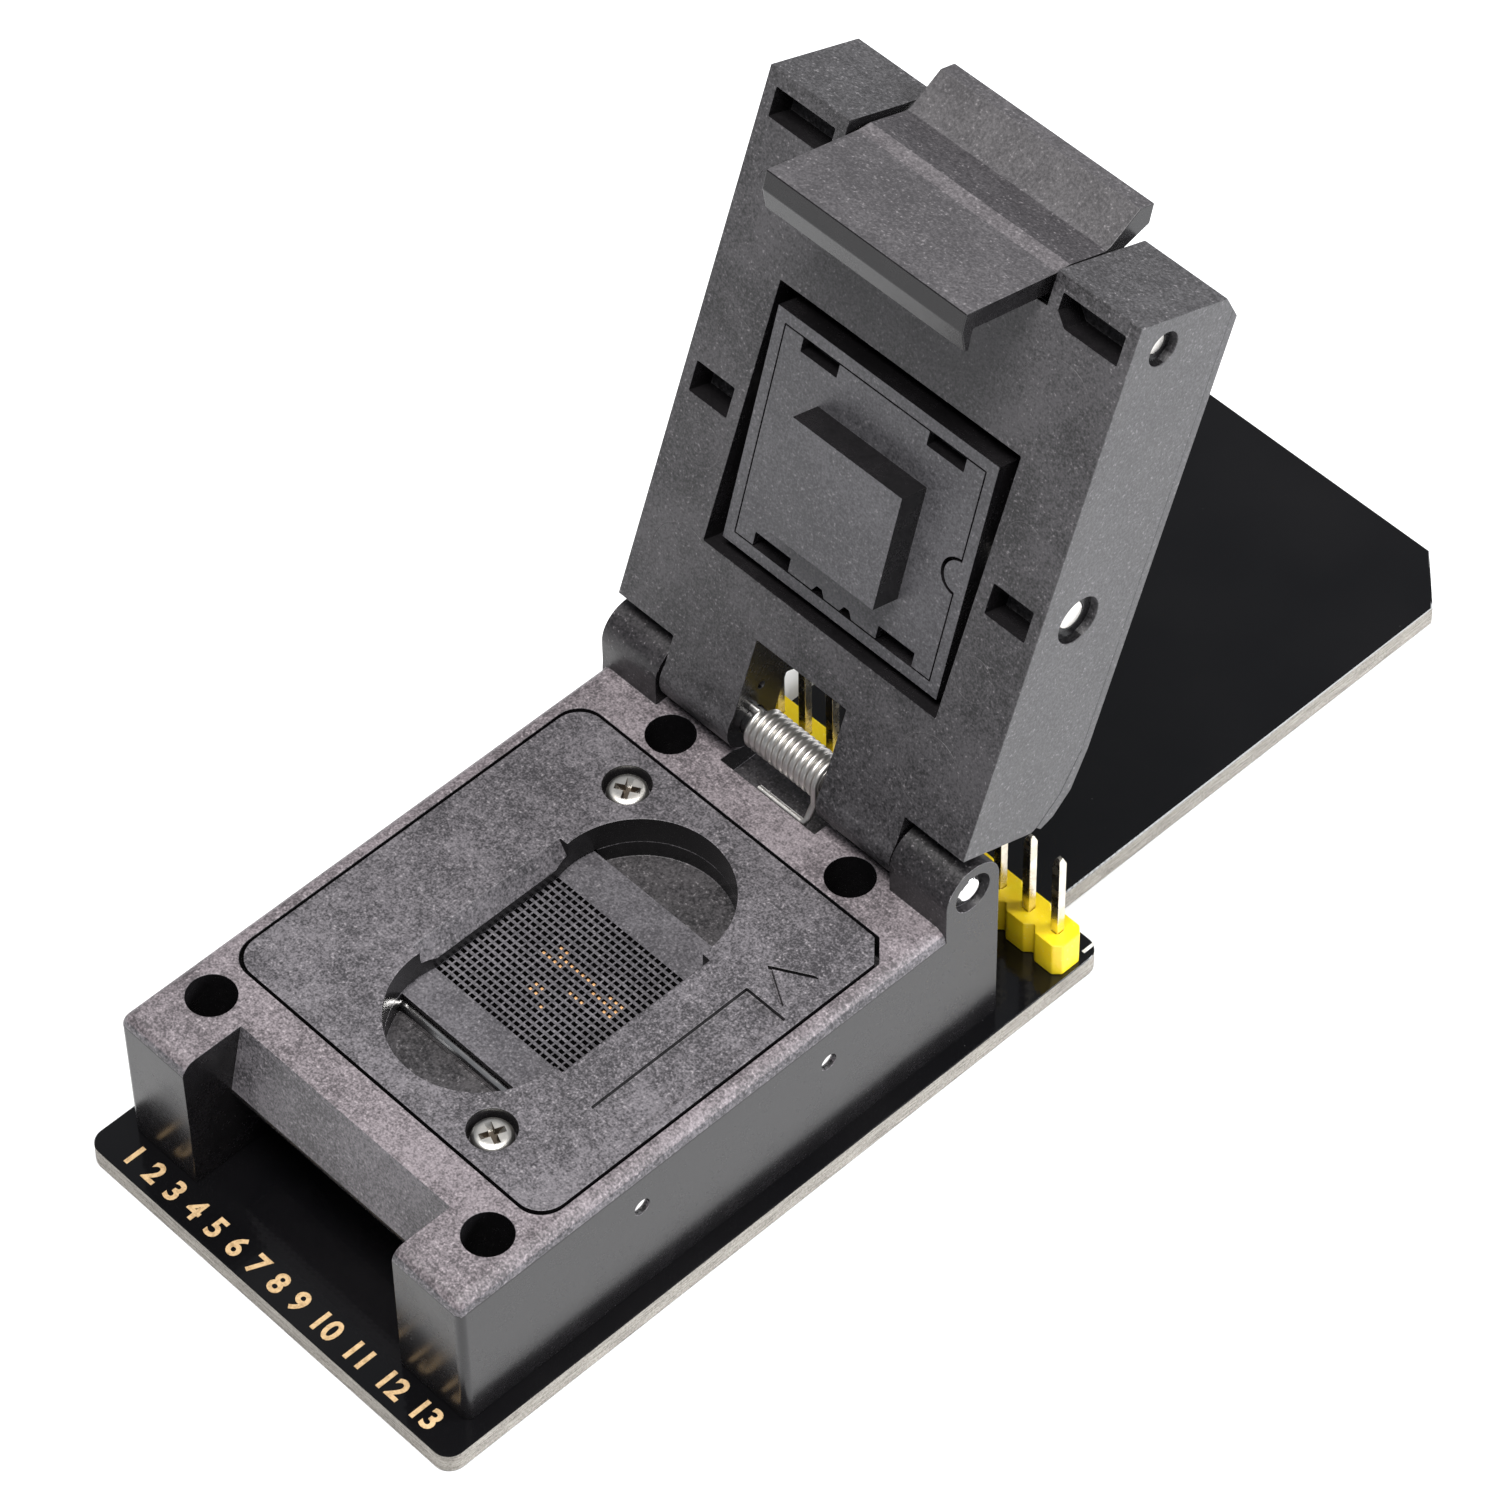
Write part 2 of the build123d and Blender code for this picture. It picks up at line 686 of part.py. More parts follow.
# Cover: the thin outer shell of the lid, folded over at the hinge end
with BuildPart() as lid_cover:
    with BuildSketch(lid_side.offset(-lid_width / 2)):
        with BuildLine():
            Polyline(
                (lid_end - 0.9, -lid_back),
                (8.6, -lid_back),
                (5.5, -lid_back + 0.7),
                (lid_start + 0.3, -lid_back + 2.0),
                (lid_start, -lid_back + 1.5),
                (lid_start + 0.7, -lid_back + 0.6),
                (5.5, -lid_back - cover_t / 2),
                (8.6, -lid_back - cover_t),
                (lid_end - 1.6, -lid_back - cover_t),
                close=True,
            )
        make_face()
    extrude(amount=lid_width)
    with BuildSketch(lid_front.offset(-lid_back)):
        with Locations((spring_window_mid, (spring_window_top - spring_window_foot) / 2)):
            Rectangle(spring_window[1] - spring_window[0], spring_window_top + spring_window_foot)
        with Locations((0, lid_end - latch_notch_depth / 2 + 0.5)):
            Rectangle(latch_notch_width, latch_notch_depth + 1)
    extrude(amount=3, both=True, mode=Mode.SUBTRACT)
save(lid_cover.part, "lid_cover")

# Pressure frame: rocks on the cross pin, carries the pressure plate
frame_back = press_face - press_frame_t
with BuildPart() as pressure_frame:
    with BuildSketch(press_front.offset(frame_back)):
        Rectangle(press_frame_width, press_frame_length)
    extrude(amount=press_frame_t)
    for side in (-1, 1):
        lug_x = side * (press_frame_width / 2 - press_lug_width / 2)
        with BuildSketch(press_side.offset(lug_x - press_lug_width / 2)):
            Circle(press_pin_d)
            with Locations((0, frame_back / 2)):
                Rectangle(2 * press_pin_d, frame_back)
        extrude(amount=press_lug_width)
    with BuildSketch(press_side.offset(-press_frame_width / 2)):
        Circle(press_pin_d / 2 + running)
    extrude(amount=press_frame_width, mode=Mode.SUBTRACT)
    with BuildSketch(press_front.offset(press_face)):
        Rectangle(press_plate_width + 2 * press_seam, press_plate_length + 2 * press_seam)
        with Locations((press_plate_width / 2 + press_seam, 0)):
            Circle(key_radius, mode=Mode.SUBTRACT)
    extrude(amount=-press_plate_t, mode=Mode.SUBTRACT)
    with GridLocations(0, 0, 1, 1):
        with BuildSketch(press_front.offset(frame_back)):
            with Locations((0, -press_spring_s), (0, press_spring_s)):
                Circle(press_spring_d / 2 + 0.2)
    extrude(amount=0.6, mode=Mode.SUBTRACT)
save(pressure_frame.part, "pressure_frame")

# Pressure plate: let into the frame, with a raised pad that pushes on the chip
with BuildPart() as pressure_plate:
    with BuildSketch(press_front.offset(press_face - press_plate_t)):
        Rectangle(press_plate_width, press_plate_length)
        with Locations((press_plate_width / 2, 0)):
            Circle(key_radius + 2 * press_seam, mode=Mode.SUBTRACT)
        for end in (-1, 1):
            with Locations((0, end * press_plate_length / 2)):
                with GridLocations(2 * press_notch_x, 0, 2, 1):
                    Rectangle(press_notch_width, 2 * press_notch_depth, mode=Mode.SUBTRACT)
        with Locations((0, -press_plate_length / 2)):
            with GridLocations(2 * press_small_notch_x, 0, 2, 1):
                Trapezoid(
                    press_small_notch_width, press_notch_depth, 60, mode=Mode.SUBTRACT
                )
    extrude(amount=press_plate_t)
    with BuildSketch(press_front.offset(press_face)):
        Rectangle(press_pad_width, press_pad_length)
    extrude(amount=press_pad_height)
save(pressure_plate.part, "pressure_plate")

# Cross pin of the pressure plate
with BuildPart() as pressure_pin:
    with BuildSketch(lid_side.offset(-lid_width / 2 + pin_recess)):
        with Locations((press_s, -press_pin_depth)):
            Circle(press_pin_d / 2)
    extrude(amount=lid_width - 2 * pin_recess)
save(pressure_pin.part, "pressure_pin")

# Springs behind the pressure plate, one each side of the cross pin
press_spring_back = -lid_back + spring_seat_gap
press_spring_rise = frame_back - press_pin_depth - press_spring_back
with BuildPart() as pressure_springs:
    for end in (-1, 1):
        seat = lid_front.from_local_coords(
            Vector(0, press_s + end * press_spring_s, press_spring_back)
        )
        one_press_spring = ridged_coil(
            Plane(origin=seat, x_dir=(1, 0, 0), z_dir=lid_front.z_dir),
            press_spring_rise / press_spring_turns,
            press_spring_turns,
            press_spring_d / 2 - press_spring_wire,
            press_spring_wire,
            press_spring_sides,
        )
        add(one_press_spring)
save(pressure_springs.part, "pressure_springs")

# Latch: finger lip, hub, front plate and hook in one moulding
with BuildPart() as latch:
    with BuildSketch(latch_side.offset(-latch_width / 2)):
        with BuildLine():
            Polyline(
                (latch_face, latch_reach),
                (latch_face, latch_ramp),
                latch_crest,
                latch_valley,
                latch_lip_root,
                latch_lip_tip,
                latch_lip_end,
                latch_lip_under,
                latch_lip_hollow,
                latch_hub_back,
                latch_hub_side,
            )
            RadiusArc(latch_hub_side, latch_hub_front, latch_hub_radius)
            Polyline(
                latch_hub_front,
                (latch_face - latch_plate_t, latch_ramp + 0.2),
                (latch_face - latch_plate_t, latch_reach - latch_hook_t),
                (-latch_hook, latch_reach - latch_hook_t),
                (-latch_hook, latch_reach - latch_hook_t + latch_hook_edge),
                (latch_nose, latch_reach),
                (latch_face, latch_reach),
            )
        make_face()
    extrude(amount=latch_width)
    with BuildSketch(latch_side.offset(-latch_width / 2)):
        Circle(latch_pin_d / 2 + running)
    extrude(amount=latch_width, mode=Mode.SUBTRACT)
    # Gap in the hub for the latch spring
    with BuildSketch(latch_side.offset(-latch_spring_slot / 2)):
        with Locations((-latch_gap_shift, 0)):
            Rectangle(*latch_gap)
    extrude(amount=latch_spring_slot, mode=Mode.SUBTRACT)
save(latch.part, "latch")

# Latch pin
with BuildPart() as latch_pin:
    with BuildSketch(lid_side.offset(-lid_width / 2 + pin_recess)):
        with Locations((latch_s, -latch_pin_depth)):
            Circle(latch_pin_d / 2)
    extrude(amount=lid_width - 2 * pin_recess)
save(latch_pin.part, "latch_pin")

# Latch spring, close wound on the latch pin
latch_coil = latch_spring_turns * latch_spring_wire
latch_spring = ridged_coil(
    Plane(origin=latch_point - Vector(latch_coil / 2, 0, 0), x_dir=(0, 1, 0), z_dir=(1, 0, 0)),
    latch_spring_wire,
    latch_spring_turns,
    latch_pin_d / 2 + running,
    latch_spring_wire,
    latch_spring_sides,
)
save(latch_spring, "latch_spring")

# Hinge spring: close-wound turns, one leg in the lid, one leg across the base
coil_radius = hinge_pin_d / 2 + running + spring_wire / 2
spring_end = spring_start + spring_pitch * spring_turns
hinge_coil = ridged_coil(
    Plane(origin=hinge_point + Vector(spring_start, 0, 0), x_dir=(0, 1, 0), z_dir=(1, 0, 0)),
    spring_pitch,
    spring_turns,
    hinge_pin_d / 2 + running,
    spring_wire,
    spring_sides,
)
with BuildPart() as hinge_spring:
    add(hinge_coil)
    upper_x = spring_start + spring_wire / 2
    with BuildLine() as upper_leg:
        Polyline(
            (upper_x, hinge_y, axis_z + coil_radius),
            (upper_x, hinge_y + spring_upper_turn[0], axis_z + spring_upper_turn[1]),
            (upper_x, hinge_y + spring_upper_rise[0], axis_z + spring_upper_rise[1]),
            (
                spring_window[0] - spring_anchor + 0.1,
                hinge_y + spring_upper_rise[0],
                axis_z + spring_upper_rise[1],
            ),
        )
    with BuildSketch(upper_leg.line ^ 0):
        RegularPolygon(spring_wire / 2, 6)
    sweep(path=upper_leg.line, transition=Transition.RIGHT)
    with BuildLine() as lower_leg:
        Polyline(
            (spring_end - spring_wire / 2, hinge_y - coil_radius, axis_z),
            (
                spring_lower_x[0],
                hinge_y + spring_lower_bend[0] + 0.4,
                axis_z + spring_lower_bend[1] + 0.6,
            ),
            (spring_lower_x[0], hinge_y + spring_lower_bend[0], axis_z + spring_lower_bend[1]),
            (spring_lower_x[1], hinge_y + spring_lower_bend[0], axis_z + spring_lower_bend[1]),
        )
    with BuildSketch(lower_leg.line ^ 0):
        RegularPolygon(spring_wire / 2, 6)
    sweep(path=lower_leg.line, transition=Transition.RIGHT)
save(hinge_spring.part, "hinge_spring")

# Header strip: one moulding with a notch between each two positions
half_pitch = header_pitch / 2
half_depth = header_depth / 2
with BuildPart() as header_strip:
    with BuildSketch(Plane.XY.offset(board_top)):
        with Locations(*header_points()):
            Polygon(
                (-half_pitch, -half_depth + header_notch),
                (-half_pitch + header_notch, -half_depth),
                (half_pitch - header_notch, -half_depth),
                (half_pitch, -half_depth + header_notch),
                (half_pitch, half_depth - header_notch),
                (half_pitch - header_notch, half_depth),
                (-half_pitch + header_notch, half_depth),
                (-half_pitch, half_depth - header_notch),
            )
    extrude(amount=header_height)
    with BuildSketch(Plane.XY.offset(board_top)):
        with Locations(*header_points()):
            Rectangle(header_pin, header_pin)
    extrude(amount=header_height, mode=Mode.SUBTRACT)
save(header_strip.part, "header_strip")

# Header pins: square wire with pointed ends, cut flush under the board
pin_top = board_top + header_height + header_pin_above
with BuildPart() as header_pins:
    with BuildSketch():
        with Locations(*header_points()):
            Rectangle(header_pin, header_pin)
    extrude(amount=pin_top - header_pin_point)
    with BuildSketch(Plane.XY.offset(pin_top - header_pin_point)):
        with Locations(*header_points()):
            Rectangle(header_pin, header_pin)
    extrude(amount=header_pin_point, taper=20)
save(header_pins.part, "header_pins")
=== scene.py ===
"""Studio picture of a clamshell chip test socket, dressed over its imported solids.

Every piece is modelled in millimetres and settled to metres at the end. The lid stands open.
"""

import json
import logging
import math
from dataclasses import dataclass, field
from enum import Enum
from typing import Any, Callable, Iterable, Optional, Sequence

import bpy
from mathutils import Euler, Matrix, Vector

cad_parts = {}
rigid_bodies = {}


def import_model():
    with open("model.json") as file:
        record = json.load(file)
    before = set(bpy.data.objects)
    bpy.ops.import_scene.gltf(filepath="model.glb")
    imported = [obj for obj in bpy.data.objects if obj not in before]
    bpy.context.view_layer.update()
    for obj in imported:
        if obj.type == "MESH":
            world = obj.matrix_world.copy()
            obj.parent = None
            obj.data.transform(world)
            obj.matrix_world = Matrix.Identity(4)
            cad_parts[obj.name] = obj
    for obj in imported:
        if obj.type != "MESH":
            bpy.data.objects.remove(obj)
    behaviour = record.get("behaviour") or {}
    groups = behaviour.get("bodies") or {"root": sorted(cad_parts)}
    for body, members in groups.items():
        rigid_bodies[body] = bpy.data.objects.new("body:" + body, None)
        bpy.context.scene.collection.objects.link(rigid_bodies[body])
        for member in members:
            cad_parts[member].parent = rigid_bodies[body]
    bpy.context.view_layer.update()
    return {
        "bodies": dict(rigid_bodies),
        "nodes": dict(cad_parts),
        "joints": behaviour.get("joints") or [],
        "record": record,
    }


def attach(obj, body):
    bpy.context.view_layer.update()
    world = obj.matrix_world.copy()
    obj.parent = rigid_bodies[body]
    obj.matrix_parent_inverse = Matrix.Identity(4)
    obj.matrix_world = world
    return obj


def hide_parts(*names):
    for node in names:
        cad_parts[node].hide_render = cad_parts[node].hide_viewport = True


MM = 0.001
UP = Vector((0.0, 0.0, 1.0))
ACROSS = Vector((1.0, 0.0, 0.0))
MERGE_MM = 0.002  # packed corners nearer than this are one
FLAT_DEGREES = 0.6  # packed triangles that bend less than this are one face
INK_MM = 0.03  # how far a marking stands up
INK_SPREAD = 0.028  # how much bolder than its font a marking is, as a share of its size
WORD_GAP = 1.45  # gap between numbers, as a share of the font's own
LOG = logging.getLogger("socket")
Number = Any
Triple = tuple[float, float, float]
Test = Callable[[Any], bool]


# ---- shader maths ----


class Wire:
    """A shader output that takes part in Python arithmetic."""

    def __init__(self, shader: "Shader", socket: Any) -> None:
        """Keep the socket and the shader that owns it."""
        self.shader = shader
        self.socket = socket

    def _math(self, operation: str, first: Number, second: Number) -> "Wire":
        """Add one Math node and return its output."""
        return self.shader.node("ShaderNodeMath", {"operation": operation}, {0: first, 1: second})

    def __add__(self, other: Number) -> "Wire":
        """Sum."""
        return self._math("ADD", self, other)

    def __radd__(self, other: Number) -> "Wire":
        """Sum, with the number on the left."""
        return self._math("ADD", other, self)

    def __mul__(self, other: Number) -> "Wire":
        """Product."""
        return self._math("MULTIPLY", self, other)

    def __gt__(self, other: Number) -> "Wire":
        """One where this is greater, else nought."""
        return self._math("GREATER_THAN", self, other)


class Shader:
    """One material under construction, read in millimetres of the object's own coordinates."""

    def __init__(self, name: str) -> None:
        """Start an empty node tree with a surface and an output.

        Args:
            name: the material's name.
        """
        self.material = bpy.data.materials.new(name)
        self.material.use_nodes = True
        self.tree = self.material.node_tree
        self.tree.nodes.clear()
        self.surface = self.tree.nodes.new("ShaderNodeBsdfPrincipled")
        output = self.tree.nodes.new("ShaderNodeOutputMaterial")
        self.tree.links.new(self.surface.outputs["BSDF"], output.inputs["Surface"])

    def node(
        self,
        kind: str,
        settings: Optional[dict[str, Any]] = None,
        inputs: Optional[dict[Any, Number]] = None,
        output: Any = 0,
    ) -> Wire:
        """Add any node.

        Args:
            kind: the node's type.
            settings: attributes set before the sockets.
            inputs: values or wires by socket name or number.
            output: which output to return.

        Returns:
            The chosen output.
        """
        made = self.tree.nodes.new(kind)
        for key, value in (settings or {}).items():
            setattr(made, key, value)
        for key, value in (inputs or {}).items():
            if isinstance(value, Wire):
                self.tree.links.new(value.socket, made.inputs[key])
            else:
                made.inputs[key].default_value = value
        return Wire(self, made.outputs[output])

    def place(self, stretch: Triple = (1.0, 1.0, 1.0)) -> Wire:
        """Object coordinates in millimetres, stretched."""
        here = self.node("ShaderNodeTexCoord", output="Object")
        scale = tuple(s / MM for s in stretch)
        return self.node("ShaderNodeMapping", {}, {"Vector": here, "Scale": scale})

    def noise(self, where: Wire, scale: float, detail: float = 2.0, rough: float = 0.5) -> Wire:
        """Cloudy noise between nought and one."""
        values = {"Vector": where, "Scale": scale, "Detail": detail, "Roughness": rough}
        return self.node("ShaderNodeTexNoise", {}, values)

    def cells(self, where: Wire, scale: float) -> Wire:
        """Distance to scattered points."""
        values = {"Vector": where, "Scale": scale}
        return self.node("ShaderNodeTexVoronoi", {"feature": "F1"}, values, "Distance")

    def step(self, value: Wire, low: float, high: float, to_low: float, to_high: float) -> Wire:
        """Fit a value from one range into another, held at both ends."""
        values = {"Value": value, 1: low, 2: high, 3: to_low, 4: to_high}
        return self.node("ShaderNodeMapRange", {"clamp": True}, values)

    def blend(self, share: Number, first: Any, second: Any) -> Wire:
        """Mix two colours; a share of nought gives the first."""
        settings = {"data_type": "RGBA", "blend_type": "MIX"}
        values = {0: share, 6: _colour(first), 7: _colour(second)}
        return self.node("ShaderNodeMix", settings, values, 2)

    def relief(self, height: Wire, depth_mm: float, strength: float = 1.0) -> Wire:
        """Bump from a height, as deep as the given millimetres."""
        values = {"Height": height, "Distance": depth_mm * MM, "Strength": strength}
        return self.node("ShaderNodeBump", {}, values)

    def finish(self, **sockets: Number) -> bpy.types.Material:
        """Set the surface's sockets, spaces written as underscores.

        Returns:
            The finished material.
        """
        for key, value in sockets.items():
            socket = self.surface.inputs[key.replace("_", " ")]
            if isinstance(value, Wire):
                self.tree.links.new(value.socket, socket)
            else:
                socket.default_value = _colour(value) if key.endswith("Color") else value
        return self.material


def _colour(value: Any) -> Any:
    """A colour of three numbers gets its alpha; a wire passes through."""
    if isinstance(value, Wire):
        return value
    return (*value, 1.0) if len(value) == 3 else value


# ---- finishes ----


@dataclass(frozen=True)
class MouldedPlastic:
    """Glass-filled black plastic: brown-grey, cloudy, sandy, with a rare bright fleck."""

    name: str
    dark: Triple
    light: Triple
    fleck: Triple = (0.32, 0.3, 0.31)
    sheen: float = 0.44
    grain_mm: float = 0.018
    cloudiness: float = 0.4

    def material(self) -> bpy.types.Material:
        """Build the material."""
        s = Shader(self.name)
        where = s.place()
        cloud = s.noise(where, 0.14, 5.0, 0.62)
        patch = s.noise(where, 0.48, 4.0, 0.62)
        sand = s.noise(where, 3.6, 2.0, 0.6)
        grit = s.noise(where, 6.6, 1.0, 0.5)
        tone = s.step(cloud, 0.38, 0.62, 0.0, self.cloudiness)
        tone = tone + s.step(patch, 0.36, 0.66, -0.06, 0.26)
        tone = tone + s.step(sand, 0.36, 0.64, -0.16, 0.46)
        tone = tone + s.step(grit, 0.38, 0.64, -0.26, 0.42)
        spark = s.step(grit * sand, 0.37, 0.46, 0.0, 0.4)
        body = s.blend(tone, self.dark, self.light)
        skin = s.blend(spark, body, self.fleck)
        dull = self.sheen + s.step(patch, 0.3, 0.7, -0.06, 0.08)
        dull = dull + s.step(sand, 0.3, 0.7, -0.05, 0.06)
        height = sand * 0.8 + grit * 0.4
        return s.finish(
            Base_Color=skin,
            Roughness=dull,
            Normal=s.relief(height, self.grain_mm),
            Specular_IOR_Level=0.5,
        )


@dataclass(frozen=True)
class MouldWall:
    """The same plastic on walls where the polished side of the mould drew along it: smooth, and
    darkened as painted shade.
    """

    name: str
    tone: Triple = (0.0072, 0.0068, 0.0074)
    cloud: Triple = (0.0145, 0.0135, 0.0147)
    gloss: float = 0.22

    def material(self) -> bpy.types.Material:
        """Build the material."""
        s = Shader(self.name)
        where = s.place()
        patch = s.noise(where, 0.4, 4.0, 0.6)
        sand = s.noise(where, 3.6, 3.0, 0.65)
        tone = s.step(patch, 0.32, 0.68, 0.0, 0.5) + s.step(sand, 0.34, 0.68, 0.0, 0.5)
        dull = self.gloss + s.step(patch, 0.3, 0.7, -0.02, 0.04) + s.step(sand, 0.3, 0.7, 0.0, 0.05)
        return s.finish(
            Base_Color=s.blend(tone, self.tone, self.cloud),
            Roughness=dull,
            Normal=s.relief(sand, 0.002),
            Specular_IOR_Level=0.32,
        )


@dataclass(frozen=True)
class SolderMask:
    """Glossy black solder mask over a fine weave, with a few specks of dust."""

    name: str = "solder_mask"

    def material(self) -> bpy.types.Material:
        """Build the material."""
        s = Shader(self.name)
        where = s.place()
        thread = {"Vector": where, "Scale": 0.62}
        warp = s.node("ShaderNodeTexWave", {"bands_direction": "X"}, thread)
        weft = s.node("ShaderNodeTexWave", {"bands_direction": "Y"}, thread)
        cloud = s.noise(where, 0.07, 3.0, 0.5)
        dust = s.step(s.cells(where, 0.85), 0.0, 0.045, 1.0, 0.0)
        specks = dust * (s.noise(where, 0.35, 1.0) > 0.63)
        depth = s.step(cloud, 0.3, 0.7, 0.0, 1.0)
        body = s.blend(depth, (0.0028, 0.0028, 0.0034), (0.0058, 0.0055, 0.006))
        skin = s.blend(specks * 0.35, body, (0.3, 0.3, 0.3))
        height = warp * weft * 0.5 + s.noise(where, 0.45, 2.0) * 0.7
        return s.finish(
            Base_Color=skin,
            Roughness=s.step(cloud, 0.3, 0.7, 0.09, 0.16),
            Normal=s.relief(height, 0.006, 0.6),
            Specular_IOR_Level=0.5,
        )


@dataclass(frozen=True)
class Laminate:
    """Cut edge of the board: pale glass fibre in streaks along the board."""

    name: str = "board_edge"

    def material(self) -> bpy.types.Material:
        """Build the material."""
        s = Shader(self.name)
        streak = s.noise(s.place(stretch=(0.35, 0.35, 9.0)), 1.2, 4.0, 0.7)
        grit = s.noise(s.place(), 6.0, 3.0, 0.7)
        tone = s.step(streak * 0.6 + grit * 0.4, 0.34, 0.64, 0.0, 1.0)
        skin = s.blend(tone, (0.075, 0.065, 0.054), (0.5, 0.47, 0.42))
        return s.finish(Base_Color=skin, Roughness=0.8, Normal=s.relief(streak + grit, 0.03))


@dataclass(frozen=True)
class Metal:
    """Plated or polished metal with faint drawing marks."""

    name: str
    bright: Triple
    dull: Triple
    polish: float = 0.2
    marks_mm: float = 0.004

    def material(self) -> bpy.types.Material:
        """Build the material."""
        s = Shader(self.name)
        where = s.place()
        cloud = s.noise(where, 0.9, 3.0, 0.6)
        fine = s.noise(where, 7.0, 2.0, 0.6)
        skin = s.blend(s.step(cloud, 0.32, 0.68, 0.0, 1.0), self.bright, self.dull)
        rough = s.step(cloud, 0.3, 0.7, self.polish - 0.05, self.polish + 0.1)
        normal = s.relief(fine, self.marks_mm, 0.5)
        return s.finish(Base_Color=skin, Metallic=1.0, Roughness=rough, Normal=normal)


@dataclass(frozen=True)
class HeaderYellow:
    """Vivid yellow header plastic with a light grain and rubbed corners."""

    name: str = "header_yellow"

    def material(self) -> bpy.types.Material:
        """Build the material."""
        s = Shader(self.name)
        where = s.place()
        cloud = s.noise(where, 0.7, 3.0, 0.6)
        grit = s.noise(where, 5.0, 3.0, 0.7)
        body = s.blend(s.step(cloud, 0.3, 0.7, 0.0, 1.0), (0.98, 0.66, 0.004), (1.0, 0.76, 0.012))
        skin = s.blend(s.step(grit, 0.62, 0.74, 0.0, 0.5), body, (0.95, 0.9, 0.45))
        return s.finish(Base_Color=skin, Roughness=0.42, Normal=s.relief(grit, 0.02))


@dataclass(frozen=True)
class Ink:
    """Printed or plated marking, slightly worn."""

    name: str
    tone: Triple
    worn: Triple
    metal: float = 0.0

    def material(self) -> bpy.types.Material:
        """Build the material."""
        s = Shader(self.name)
        wear = s.noise(s.place(), 2.4, 4.0, 0.7)
        skin = s.blend(s.step(wear, 0.45, 0.68, 0.0, 0.8), self.tone, self.worn)
        normal = s.relief(wear, 0.01)
        return s.finish(Base_Color=skin, Metallic=self.metal, Roughness=0.38, Normal=normal)


class Finish(Enum):
    """The finishes that the pieces are dressed in."""

    HOUSING = MouldedPlastic(
        "housing_plastic", (0.07, 0.061, 0.0655), (0.23, 0.2, 0.215), (0.5, 0.45, 0.46)
    )
    INSERT = MouldedPlastic(
        "insert_plastic", (0.036, 0.034, 0.0375), (0.15, 0.139, 0.1515), (0.42, 0.39, 0.4)
    )
    LID = MouldedPlastic(
        "lid_plastic", (0.0105, 0.01, 0.011), (0.064, 0.0608, 0.0655), cloudiness=0.6
    )
    # Lighter copy of the lid plastic for its outer sides and end: painted light.
    LID_SIDE = MouldedPlastic(
        "lid_side_lit_plastic", (0.036, 0.0348, 0.0366), (0.082, 0.0795, 0.0838), cloudiness=0.2
    )
    LATCH = MouldedPlastic(
        "latch_plastic", (0.05, 0.0475, 0.0505), (0.092, 0.087, 0.092), cloudiness=0.3
    )
    # Lighter copy of the latch plastic for the ridge band: painted highlight.
    LATCH_RIDGE = MouldedPlastic(
        "latch_ridge_lit_plastic", (0.068, 0.063, 0.067), (0.134, 0.124, 0.131), cloudiness=0.3
    )
    # Darker copy of the latch plastic for the dip band: painted shade.
    LATCH_DIP = MouldedPlastic(
        "latch_dip_shade_plastic", (0.03, 0.028, 0.0305), (0.062, 0.058, 0.062), cloudiness=0.3
    )
    PRESS = MouldedPlastic(
        "press_plastic", (0.042, 0.041, 0.045), (0.094, 0.092, 0.1), grain_mm=0.012
    )
    GUIDE = MouldedPlastic(
        "guide_plastic", (0.048, 0.0455, 0.0505), (0.12, 0.1135, 0.1245), grain_mm=0.01
    )
    # Darker copy of the plastic for the floors of pits in the housing: painted shade.
    PIT = MouldedPlastic("pit_shade_plastic", (0.012, 0.0112, 0.0122), (0.056, 0.052, 0.0555))
    # Darker copy of the housing plastic for the ear barrels: painted shade.
    KNUCKLE = MouldedPlastic(
        "knuckle_shade_plastic", (0.008, 0.0075, 0.0082), (0.034, 0.031, 0.034), sheen=0.38
    )
    # Side walls, holes and slots: smooth plastic whose dark colour is painted shade.
    WALL = MouldWall("wall_shade_plastic")
    MASK = SolderMask()
    LAMINATE = Laminate()
    GOLD = Metal("gold_plate", (0.93, 0.66, 0.3), (0.78, 0.5, 0.19), 0.24)
    PIN = Metal("pin_plate", (0.86, 0.8, 0.68), (0.6, 0.54, 0.44), 0.22)
    STEEL = Metal("polished_steel", (0.8, 0.79, 0.78), (0.62, 0.61, 0.61), 0.14)
    SCREW = Metal("nickel_screw", (0.95, 0.93, 0.89), (0.72, 0.69, 0.64), 0.32, 0.01)
    WIRE = Metal("spring_wire", (0.78, 0.76, 0.73), (0.56, 0.54, 0.52), 0.36)
    # Dark metal for the screws' cross recess: painted shade.
    RECESS = Metal("screw_recess_shade", (0.2, 0.165, 0.13), (0.09, 0.075, 0.06), 0.4, 0.01)
    CONTACT = Ink("contact_gold", (0.82, 0.46, 0.2), (0.6, 0.3, 0.11), 0.3)
    YELLOW = HeaderYellow()
    PRINT = Ink("gold_marking", (0.8, 0.56, 0.3), (0.42, 0.26, 0.12), 0.35)
    WHITE = Ink("white_marking", (0.75, 0.76, 0.78), (0.35, 0.36, 0.38))


MATERIALS: dict[Finish, bpy.types.Material] = {}


def dressed(finish: Finish) -> bpy.types.Material:
    """The material of a finish, built once."""
    if finish not in MATERIALS:
        MATERIALS[finish] = finish.value.material()
    return MATERIALS[finish]


# ---- bench tools ----


def alone(piece: bpy.types.Object) -> None:
    """Select one object and make it active."""
    bpy.ops.object.select_all(action="DESELECT")
    piece.select_set(True)
    bpy.context.view_layer.objects.active = piece


def added(name: str) -> bpy.types.Object:
    """Name the object that an operator has just added."""
    piece = bpy.context.active_object
    piece.name = name
    piece.data.name = name
    return piece


